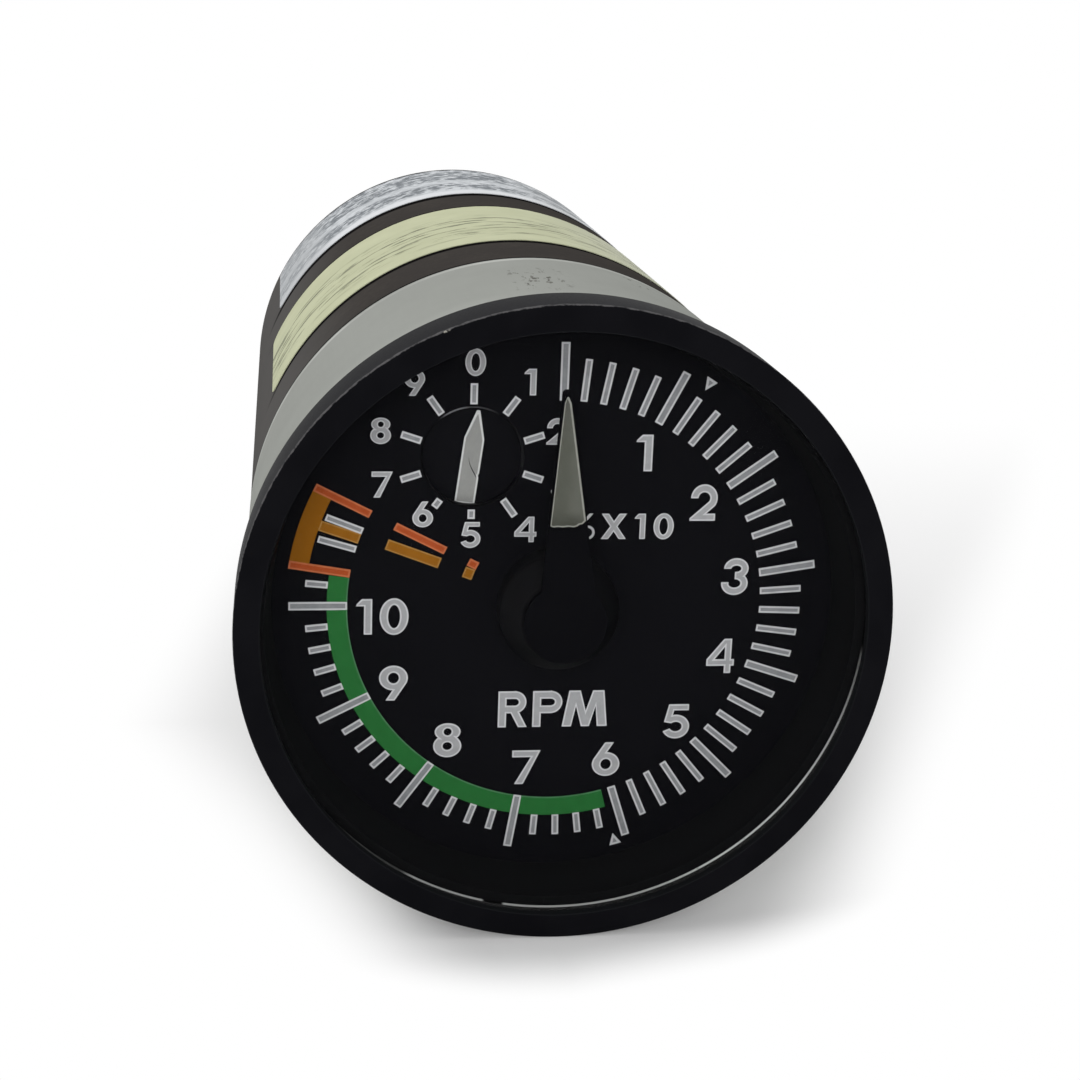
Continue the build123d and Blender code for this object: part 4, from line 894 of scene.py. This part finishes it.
SMALL_LEGENDS = [
    ("0", -8.24, 23.25, 1.9), ("1", -3.18, 21.45, 1.15), ("2", -0.53, 16.81, 1.94), ("3", 0.06, 11.62, 1.9),
    ("4", -3.17, 7.41, 2.09), ("5", -8.31, 6.9, 1.85), ("6", -12.82, 8.88, 1.92), ("7", -16.62, 11.73, 1.95),
    ("8", -16.81, 16.8, 1.9), ("9", -13.78, 21.32, 1.9),
    ("X", 5.2, 7.7, 2.39), ("1", 7.69, 7.7, 1.06), ("0", 9.97, 7.7, 1.94),
]
LETTERS = [("R", -3.84, -10.57, 2.72), ("P", -0.46, -10.57, 2.79), ("M", 3.2, -10.57, 4.33)]
PERCENT_RINGS, PERCENT_RING, PERCENT_BAR = ((2.72, 7.1), (1.02, 8.28)), (0.675, 0.45), 0.26
PERCENT_ENDS = ((0.95, 6.43), (3.02, 8.95))


def inset(loop, margin):
    """A closed loop drawn in by a margin, or out by a negative one."""
    area = sum(ax * by - bx * ay for (ax, ay), (bx, by) in zip(loop, loop[1:] + loop[:1]))
    margin = margin if area > 0 else -margin
    drawn = []
    for index, point in enumerate(loop):
        here, after = Vector(point), Vector(loop[(index + 1) % len(loop)])
        before = Vector(loop[index - 1])
        first, second = (here - before).normalized(), (after - here).normalized()
        normal = Vector((-first.y - second.y, first.x + second.x)).normalized()
        reach = margin / max(0.35, normal.dot(Vector((-first.y, first.x))))
        drawn.append(tuple(here + normal * reach))
    return drawn


glyphs, cores = [], []
for group, height, margin in (
    (LEGENDS, NUMERAL_HEIGHT, NUMERAL_CORE),
    (SMALL_LEGENDS, SMALL_HEIGHT, SMALL_CORE),
    (LETTERS, LETTER_HEIGHT, NUMERAL_CORE),
):
    for sign, x, z, width in group:
        loops = SIGNS[sign]
        left, right = min(px for px, _ in loops[0]), max(px for px, _ in loops[0])
        wide = width / (right - left)
        middle = (left + right) / 2
        placed = [[(x + (px - middle) * wide, z + (pz - 0.5) * height) for px, pz in loop] for loop in loops]
        if group is LETTERS:
            placed = [inset(placed[0], -LETTER_BOLDER)] + [inset(hole, LETTER_BOLDER) for hole in placed[1:]]
        glyphs.append(placed)
        cores.append([inset(placed[0], margin)] + [inset(hole, -margin) for hole in placed[1:]])
for centre in PERCENT_RINGS:
    glyphs.append([circle(reach, centre, 32) for reach in PERCENT_RING])
low, high = (Vector(end) for end in PERCENT_ENDS)
side = Vector(((high - low).length / (high - low).y * PERCENT_BAR / 2, 0))
glyphs.append([[tuple(corner) for corner in (low - side, high - side, high + side, low + side)]])
fit(raised("legends", glyphs, DIAL_FACE - INK_HEIGHT, DIAL_FACE), white_ink, "white_print")
core_mesh = raised("legend_cores", cores, DIAL_FACE - INK_HEIGHT - CORE_RISE, DIAL_FACE - INK_HEIGHT)
fit(core_mesh, legend_ink, "white_print")


# The boss: a black turned post that the pointer's staff comes out of, with a cone towards the
# pointer. It is satin black, with painted shade on its bottom, its right side and its face under the
# pointer, which leaves its left side lighter.
POINTER_FRONT, POINTER_THICKNESS = -2.96, 0.5
POINTER_BACK = POINTER_FRONT + POINTER_THICKNESS
BOSS_RADIUS, BOSS_TOP_RADIUS, BOSS_STEP, BOSS_GAP, BOSS_BORE = 5.7, 3.95, 2.5, 0.25, 2.1
look = Finish("satin_black_boss", specular_ior_level=0.05)
boss_grain = look.noise(0.25, 3.0)
across, along, up = look.axes()
black = look.mix(boss_grain, (17, 17, 19), (21, 21, 23))
# Painted shade: the boss is darker at its bottom, on its right and on its face under the pointer.
boss_painted_shade = (1 - up.ramp(-4.8, -1.0)).largest(across.ramp(0.0, 5.0))
boss_painted_shade = boss_painted_shade.largest(1 - along.ramp(POINTER_BACK + BOSS_GAP, POINTER_BACK + BOSS_GAP + 0.1))
look.coat(
    look.mix(boss_painted_shade * 0.8, black, (3, 3, 5)),
    0.42 + boss_grain * 0.1, boss_grain, 0.25, 0.015,
)
boss_profile = (
    (BOSS_BORE, POINTER_BACK + BOSS_GAP),
    (BOSS_TOP_RADIUS, POINTER_BACK + BOSS_GAP, 0.15),
    (BOSS_RADIUS, DIAL_FACE - BOSS_STEP, 0.3),
    (BOSS_RADIUS, DIAL_FACE),
    (BOSS_SPIGOT_RADIUS, DIAL_FACE),
    (BOSS_SPIGOT_RADIUS, DIAL_FACE + DIAL_THICKNESS),
    (BOSS_BORE, DIAL_FACE + DIAL_THICKNESS),
)
fit(turned("boss", boss_profile, 128), look, "black_paint", "dial_boss")


# The pointer: a blanked aluminium blade with a round hub, painted matt black. Its outer half
# carries greenish grey luminous paint, brushed on a little thickly and ragged at its inner end.
POINTER_LENGTH, POINTER_TIP_WIDTH, POINTER_ROOT_WIDTH, POINTER_HUB_RADIUS = 21.85, 0.86, 5.7, 3.88
POINTER_TIP_ROUNDING, POINTER_EDGE = 0.2, 0.04
HUB_SHIFT, HUB_DROP, BLADE_SHIFT, BLADE_LEAN = 0.17, 0.12, 0.4, 0.015
POINTER_REST = -1.4
LUME_INNER, LUME_SHOULDER, LUME_OUTER, LUME_THICKNESS = 9.3, 20.7, 21.25, 0.1
LUME_BASE_MARGIN, LUME_TIP_MARGIN, LUME_RIM = 0.18, 0.26, 0.13
LUME_TIP_HALF, LUME_FILL_SHIFT = 0.06, 0.04


def aimed(points, turn, centre=(0.0, 0.0)):
    """Points turned clockwise about a centre."""
    wheel = Matrix.Rotation(-radians(turn), 2)
    return [tuple(wheel @ Vector(point) + Vector(centre)) for point in points]


def blade_half(radius):
    """Half the blade's width at a distance from its axis."""
    return (POINTER_ROOT_WIDTH + (POINTER_TIP_WIDTH - POINTER_ROOT_WIDTH) * radius / POINTER_LENGTH) / 2


def on_blade(points):
    """Points laid on the blade, whose middle line passes a little to the right of the hub's centre."""
    return [(x + BLADE_SHIFT - BLADE_LEAN * y, y) for x, y in points]


side_turns = []
for side in (1, -1):
    reach = 3.0
    for _ in range(20):
        offset = BLADE_SHIFT - BLADE_LEAN * reach - HUB_SHIFT + side * blade_half(reach)
        reach = (POINTER_HUB_RADIUS**2 - offset**2) ** 0.5
    side_turns.append(atan2(offset, reach))
hub_turns = [side_turns[0] + (2 * pi + side_turns[1] - side_turns[0]) * step / 90 for step in range(91)]
hub_arc = [
    (HUB_SHIFT + POINTER_HUB_RADIUS * sin(turn), POINTER_HUB_RADIUS * cos(turn) - HUB_DROP)
    for turn in hub_turns
]
tip_half, tip_base = POINTER_TIP_WIDTH / 2, POINTER_LENGTH - POINTER_TIP_ROUNDING
tip = [(-tip_half, tip_base), (-tip_half / 2, POINTER_LENGTH)]
tip += [(tip_half / 2, POINTER_LENGTH), (tip_half, tip_base)]
blade_black = grained("matt_black_pointer", (8, 8, 11), (11, 11, 14), 0.3, (0.55, 0.12), (0.2, 0.015), 0.005)
pointer_loop = aimed(hub_arc + on_blade(tip), POINTER_REST)
pointer_mesh = plate("pointer_blade", [pointer_loop], POINTER_FRONT, POINTER_BACK, POINTER_EDGE)
fit(pointer_mesh, blade_black, "black_paint", "pointer", body="pointer_assembly")

look = Finish("luminous_paint", specular_ior_level=0.1)
across, along, up = look.axes()
lume_cloud = look.noise(1.6, 4.0, 0.6)
lume_grain = look.noise(0.18, 3.0)
reach = (across * across + up * up) ** 0.5
lume_color = look.layers(
    look.mix(lume_cloud.ramp(0.3, 0.7), (84, 86, 78), (90, 92, 84)),
    # Painted highlight: the luminous paint is lighter towards the blade's right side.
    ((across + 0.4 + lume_cloud * 0.8).ramp(0.2, 1.8) * 0.6, (102, 103, 96)),
    (reach.ramp(17.0, 21.0) * 0.7, (84, 84, 80)),
    ((1 - (reach + lume_cloud).ramp(9.9, 11.6)) * 0.9, (68, 69, 62)),
)
look.coat(lume_color, 0.6 + lume_grain * 0.2, lume_grain, 0.4, 0.03)
lume_edge = printed("luminous_paint_edge", (156, 157, 149), (138, 139, 132))
inner_half = blade_half(LUME_INNER) - LUME_BASE_MARGIN
outer_half = blade_half(LUME_SHOULDER) - LUME_TIP_MARGIN
lume_ragged = (
    (-0.96, 0.0), (-0.8, -0.1), (-0.6, -0.04), (-0.3, -0.1), (0.0, -0.05), (0.3, -0.12), (0.5, -0.04),
    (0.62, 0.12), (0.8, 0.16), (0.9, 0.34),
)
lume_tip = [(outer_half, LUME_SHOULDER), (LUME_TIP_HALF, LUME_OUTER)]
lume_tip += [(-LUME_TIP_HALF, LUME_OUTER), (-outer_half, LUME_SHOULDER)]
lume_sides = [(inner_half - 0.03, LUME_INNER + 0.45), *lume_tip, (-inner_half, LUME_INNER + 0.05)]
lume_base = [(share * inner_half, LUME_INNER + rise) for share, rise in lume_ragged]
lume_loop = aimed(on_blade(lume_sides + lume_base), POINTER_REST)
lume_front = POINTER_FRONT - LUME_THICKNESS
lume_mesh = plate("luminous_tip", [lume_loop], lume_front, POINTER_FRONT)
fit(lume_mesh, lume_edge, "lume", "pointer_lume", body="pointer_assembly")
fill_loop = [(x - LUME_FILL_SHIFT, z) for x, z in inset(lume_loop, LUME_RIM)]
fill_mesh = plate("luminous_fill", [fill_loop], lume_front - CORE_RISE, lume_front)
fit(fill_mesh, look, "lume", body="pointer_assembly")


# The vernier: a black disc that turns behind the window, with a broad hand painted on it in grey
# with a white outline. The paint has cracked from the hand's middle down to a nick at the right.
DISC_GAP = 0.1
DISC_FRONT = DIAL_FACE + DIAL_THICKNESS + DISC_GAP
DISC_RADIUS, DISC_THICKNESS, DISC_BORE, DISC_HUB, DISC_HUB_LENGTH = 5.4, 0.5, 0.6, 1.6, 1.6
HAND_LENGTH, HAND_WIDTH, HAND_SHOULDER, HAND_TIP_WIDTH, HAND_DROP = 8.95, 1.88, 2.7, 0.3, 0.2
HAND_BORDER, HAND_FILL_TIP, HAND_FILL, HAND_CRACK = 0.17, 0.03, (0.06, 0.02), (0.067, 0.061)
NICK, NICK_DEPTH = -1.85, 0.1
CRACK = (
    (-0.24, -0.305), (-0.17, -0.625), (-0.055, -0.945), (0.1, -1.22), (0.245, -1.445), (0.465, -1.745),
    (0.695, -2.05), (0.745, -2.01), (0.535, -1.695), (0.315, -1.395), (0.16, -1.18), (-0.005, -0.915),
    (-0.13, -0.615), (-0.22, -0.295),
)
VERNIER_REST = 7.3
disc_black = grained("matt_black_disc", (9, 9, 13), (12, 12, 16), 0.3, (0.6, 0.1), (0.2, 0.01), 0.03)
disc_back = DISC_FRONT + DISC_THICKNESS
disc_profile = (
    (DISC_BORE, DISC_FRONT),
    (DISC_RADIUS, DISC_FRONT),
    (DISC_RADIUS, disc_back),
    (DISC_HUB, disc_back),
    (DISC_HUB, disc_back + DISC_HUB_LENGTH),
    (DISC_BORE, disc_back + DISC_HUB_LENGTH),
)
disc_mesh = turned("vernier_face", disc_profile, 96, VERNIER)
fit(disc_mesh, disc_black, "black_paint", "vernier_disc", body="vernier")


def hand_loop(margin):
    """The hand's outline, drawn in by a margin."""
    half, foot = HAND_WIDTH / 2 - margin, margin - HAND_LENGTH / 2 - HAND_DROP
    end = HAND_LENGTH / 2 - HAND_DROP
    shoulder = end - HAND_SHOULDER - margin * 0.3
    point_half = HAND_TIP_WIDTH / 2 if not margin else HAND_FILL_TIP
    nicked = [(half, NICK - 0.22), (half - NICK_DEPTH, NICK), (half, NICK + 0.16)]
    point = [(point_half, end - margin * 2.2), (-point_half, end - margin * 2.2)]
    loop = [(-half, foot), (half, foot), *nicked, (half, shoulder), *point, (-half, shoulder)]
    return aimed(loop, VERNIER_REST, VERNIER)


hand_white = printed("hand_white", (212, 214, 213), (202, 204, 203))
hand_grey = printed("hand_grey", (153, 154, 151), (146, 147, 145))
crack_loop = aimed(CRACK, VERNIER_REST, VERNIER)
for name, loop, (front, back), ink, slot, *nodes in (
    ("vernier_arrow", hand_loop(0.0), (PRINT_THICKNESS, 0), hand_white, "white_print", "vernier_hand"),
    ("vernier_fill", hand_loop(HAND_BORDER), HAND_FILL, hand_grey, "white_print"),
    ("vernier_crack", crack_loop, HAND_CRACK, disc_black, "black_paint"),
):
    fit(plate(name, [loop], DISC_FRONT - front, DISC_FRONT - back), ink, slot, *nodes, body="vernier")


# The rear: a flanged three-pin receptacle on a rubber gasket, held by four slotted screws, and three
# smaller screws round it that hold the movement. The shell is olive, its thread cut all the way.
WALL_BACK, GASKET_SHEET = BODY_END, 0.5
FLANGE, FLANGE_CORNER, FLANGE_THICKNESS, FLANGE_HOLES = 25.4, 2.0, 2.4, 18.26
THREAD_RADIUS, THREAD_LENGTH, THREAD_PITCH, THREAD_DEPTH = 7.94, 12.0, 1.27, 0.55
THREAD_LEAD, THREAD_MARGIN, THREAD_RUNOUT = 0.8, 0.3, 0.6
SOCKET_RADIUS, SPIGOT_BACK = 6.2, 5.0
INSERT_LENGTH, PIN_CIRCLE, PIN_RADIUS, PIN_REACH, PIN_TAIL = 8.5, 3.0, 0.8, 5.0, 4.0
GASKET_BORE, SHELL_SPIGOT_RADIUS, KEY_HALF, KEY_HEIGHT = 8.24, 8.09, 0.6, 0.6
SCREW_RADIUS, SCREW_HEAD, SCREW_HEAD_HEIGHT, SCREW_REACH, SCREW_CLEARANCE = 1.4, 2.6, 1.6, 4.9, 0.08
CHASSIS_CIRCLE, CHASSIS_RADIUS, CHASSIS_HEAD, CHASSIS_HEAD_HEIGHT, CHASSIS_REACH = 23.8, 1.0, 1.85, 1.2, 5.0
SCREW_DOME = ((1, 0.55), (0.9, 0.8), (0.66, 0.94), (0.34, 1))
SCREW_CREASE, SLOT_HALF, SLOT_SHARE = 40, 0.28, 0.45
flange_face = WALL_BACK + GASKET_SHEET
thread_face = flange_face + FLANGE_THICKNESS
shell_front = flange_face - SPIGOT_BACK
insert_face = shell_front + INSERT_LENGTH


def square(side, corner):
    """Closed loop of a square with rounded corners."""
    half = side / 2
    corners = [(-half, -half, corner), (half, -half, corner), (half, half, corner), (-half, half, corner)]
    return [tuple(point) for point in outline(*corners)]


screw_places = [(x * FLANGE_HOLES / 2, z * FLANGE_HOLES / 2) for x in (-1, 1) for z in (-1, 1)]
screw_holes = [circle(SCREW_RADIUS + SCREW_CLEARANCE, place, 32) for place in screw_places]
flange_loops = [square(FLANGE, FLANGE_CORNER), circle(SOCKET_RADIUS, steps=96), *screw_holes]
gasket_loops = [square(FLANGE, FLANGE_CORNER), circle(GASKET_BORE, steps=96), *screw_holes]
sheet_mesh = plate("receptacle_gasket", gasket_loops, WALL_BACK, flange_face)
fit(sheet_mesh, rubber, "rubber", "connector_gasket")

olive = Finish("olive_plated_shell", roughness=0.4, metallic=0.7)
olive_cloud = olive.noise(2.5, 4.0)
olive_grain = olive.noise(0.3, 3.0)
olive.coat(
    olive.mix(olive_cloud.ramp(0.3, 0.7), (92, 92, 62), (118, 116, 82)),
    0.36 + olive_grain * 0.15, olive_grain, 0.2, 0.02,
)
flange_mesh = plate("receptacle_flange", flange_loops, flange_face, thread_face, 0.12)
fit(flange_mesh, olive, "shell", "connector_shell")

work = bmesh.new()
turn_steps, pitch_steps = 72, 6
core = THREAD_RADIUS - THREAD_DEPTH
rows = []
for row in range(int(THREAD_LENGTH / THREAD_PITCH * pitch_steps) + 1):
    line = []
    for step in range(turn_steps):
        turn = 2 * pi * step / turn_steps
        y = row * THREAD_PITCH / pitch_steps
        phase = (y / THREAD_PITCH - step / turn_steps) % 1.0
        crest = max(0.0, min(1.0, 1.5 - abs(phase - 0.5) * 4))
        lead, runout = max(0.0, y - THREAD_LEAD), max(0.0, THREAD_LENGTH - THREAD_MARGIN - y)
        fade = min(1.0, lead / THREAD_LEAD, runout / THREAD_RUNOUT)
        radius = core + THREAD_DEPTH * (1 - (1 - crest) * fade if fade > 0 else 1)
        radius = min(radius, THREAD_RADIUS - max(0.0, y - THREAD_LENGTH + THREAD_RUNOUT))
        line.append(work.verts.new(Vector((radius * sin(turn), thread_face + y, radius * cos(turn))) * MM))
    rows.append(line)
mouth = thread_face + (len(rows) - 1) * THREAD_PITCH / pitch_steps
rows += [ring(work, SOCKET_RADIUS, y, turn_steps) for y in (mouth, shell_front)]
rows += [ring(work, SHELL_SPIGOT_RADIUS, y, turn_steps) for y in (shell_front, thread_face)]
joined(work, rows)
fit(finished_mesh(work, "receptacle_barrel"), olive, "shell")

key_loop = [(side * KEY_HALF, SOCKET_RADIUS - KEY_HEIGHT) for side in (-1, 1)]
key_loop += [(side * KEY_HALF, SOCKET_RADIUS) for side in (1, -1)]
fit(plate("receptacle_key", [key_loop], insert_face, mouth, 0.05), olive, "shell")

brown = grained("brown_insulator", (58, 34, 22), (74, 44, 28), 1.5, (0.3, 0.12), (0.15, 0.02), 0.5)
pin_turns = [radians(90 + 120 * number) for number in range(3)]
pin_places = [(PIN_CIRCLE * cos(turn), PIN_CIRCLE * sin(turn)) for turn in pin_turns]
insert_loops = [circle(SOCKET_RADIUS, steps=96)] + [circle(PIN_RADIUS, place, 32) for place in pin_places]
fit(plate("insulator", insert_loops, shell_front, insert_face), brown, "insulator", "connector_insert")


def machined(name, pale, dark, roughness=0.3, grain=0.3):
    """Turned or blanked metal with fine tool marks and a little tarnish."""
    metal = Finish(name, metallic=1.0)
    tarnish = metal.noise(3.0, 4.0).ramp(0.35, 0.7)
    marks = metal.noise(grain, 3.0)
    metal.coat(metal.mix(tarnish, pale, dark), roughness + marks * 0.15, marks, 0.15, 0.01)
    return metal


gold = machined("gold_plate", (214, 172, 92), (188, 146, 74), 0.25)
for number, place in enumerate(pin_places):
    pin_profile = (
        (0, shell_front - PIN_TAIL),
        (PIN_RADIUS, shell_front - PIN_TAIL),
        (PIN_RADIUS, insert_face + PIN_REACH, 0.5),
        (0, insert_face + PIN_REACH),
    )
    fit(turned(f"contact_{number + 1}", pin_profile, 32, place), gold, "brass", "connector_pins")


def slotted_head(name, place, radius, face, height, shank, depth):
    """Domed screw head with a cut slot, and its shank, facing the rear."""
    levels = [(shank, face - depth), (shank, face), (radius, face)]
    levels += [(radius * reach, face + height * rise) for reach, rise in SCREW_DOME]
    work = bmesh.new()
    rings = [ring(work, reach, y, 48, place) for reach, y in levels]
    joined(work, rings, closed=False)
    work.faces.new(rings[0])
    work.faces.new(rings[-1])
    head = finished_mesh(work, name, SCREW_CREASE)
    cutter = bmesh.new()
    for x in (-radius - 0.2, radius + 0.2):
        for y in (face + height - height * SLOT_SHARE, face + height + 0.5):
            for z in (-SLOT_HALF, SLOT_HALF):
                cutter.verts.new(Vector((place[0] + x, y, place[1] + z)) * MM)
    cutter.verts.ensure_lookup_table()
    bmesh.ops.convex_hull(cutter, input=cutter.verts)
    cutter_mesh = bpy.data.meshes.new("slot")
    cutter.to_mesh(cutter_mesh)
    cutter.free()
    screw, tool = bpy.data.objects.new(name, head), bpy.data.objects.new("slot", cutter_mesh)
    scene.collection.objects.link(screw)
    scene.collection.objects.link(tool)
    cut = screw.modifiers.new("slot", "BOOLEAN")
    cut.operation, cut.solver, cut.object = "DIFFERENCE", "EXACT", tool
    bpy.context.view_layer.update()
    graph = bpy.context.evaluated_depsgraph_get()
    done = bpy.data.meshes.new_from_object(screw.evaluated_get(graph))
    bpy.data.objects.remove(screw)
    bpy.data.objects.remove(tool)
    bpy.data.meshes.remove(head)
    done.name = name
    done.set_sharp_from_angle(angle=radians(SCREW_CREASE))
    return done


steel = machined("plated_steel", (176, 174, 168), (138, 136, 130), 0.32)
head_sizes = (SCREW_HEAD, thread_face, SCREW_HEAD_HEIGHT, SCREW_RADIUS, SCREW_REACH)
for number, place in enumerate(screw_places):
    fit(slotted_head(f"flange_screw_{number + 1}", place, *head_sizes), steel, "steel", "connector_screws")
head_sizes = (CHASSIS_HEAD, WALL_BACK, CHASSIS_HEAD_HEIGHT, CHASSIS_RADIUS, CHASSIS_REACH)
for number in range(3):
    turn = radians(30 + 120 * number)
    place = (CHASSIS_CIRCLE * cos(turn), CHASSIS_CIRCLE * sin(turn))
    fit(slotted_head(f"chassis_screw_{number + 1}", place, *head_sizes), steel, "steel", "chassis_screws")


# The movement: brass gears and bushes, aluminium plates and pillars, an iron magnet and motor with
# copper coils. The case hides all of it, so the model's own shapes are kept.
brass = machined("brass", (206, 168, 96), (176, 138, 72))
bright_steel = machined("bright_steel", (196, 196, 198), (160, 160, 162))
alloy = machined("machined_alloy", (198, 200, 202), (168, 170, 172), 0.35)
iron = machined("dark_iron", (82, 82, 86), (58, 58, 62), 0.5)
copper = machined("enamelled_wire", (176, 98, 56), (140, 70, 38), 0.3, 0.15)
refinish(brass, "main_gear", "idler_gear", "pointer_collet", "hairspring_collet", "hairspring_stud")
refinish(brass, "staff_bushes", "arbor_bushes", "rotor_bushes")
refinish(bright_steel, "pointer_staff", "idler_arbor", "vernier_arbor", "rotor_shaft", "hairspring")
refinish(bright_steel, "front_plate_screws")
refinish(alloy, "front_plate", "middle_plate", "motor_plate", "end_plate", "motor_housing", "drag_cup")
refinish(alloy, "front_pillars", "drag_pillars", "motor_pillars", "rear_standoffs")
refinish(iron, "drag_magnet", "flux_ring", "stator_core", "rotor")
refinish(copper, "stator_coils")
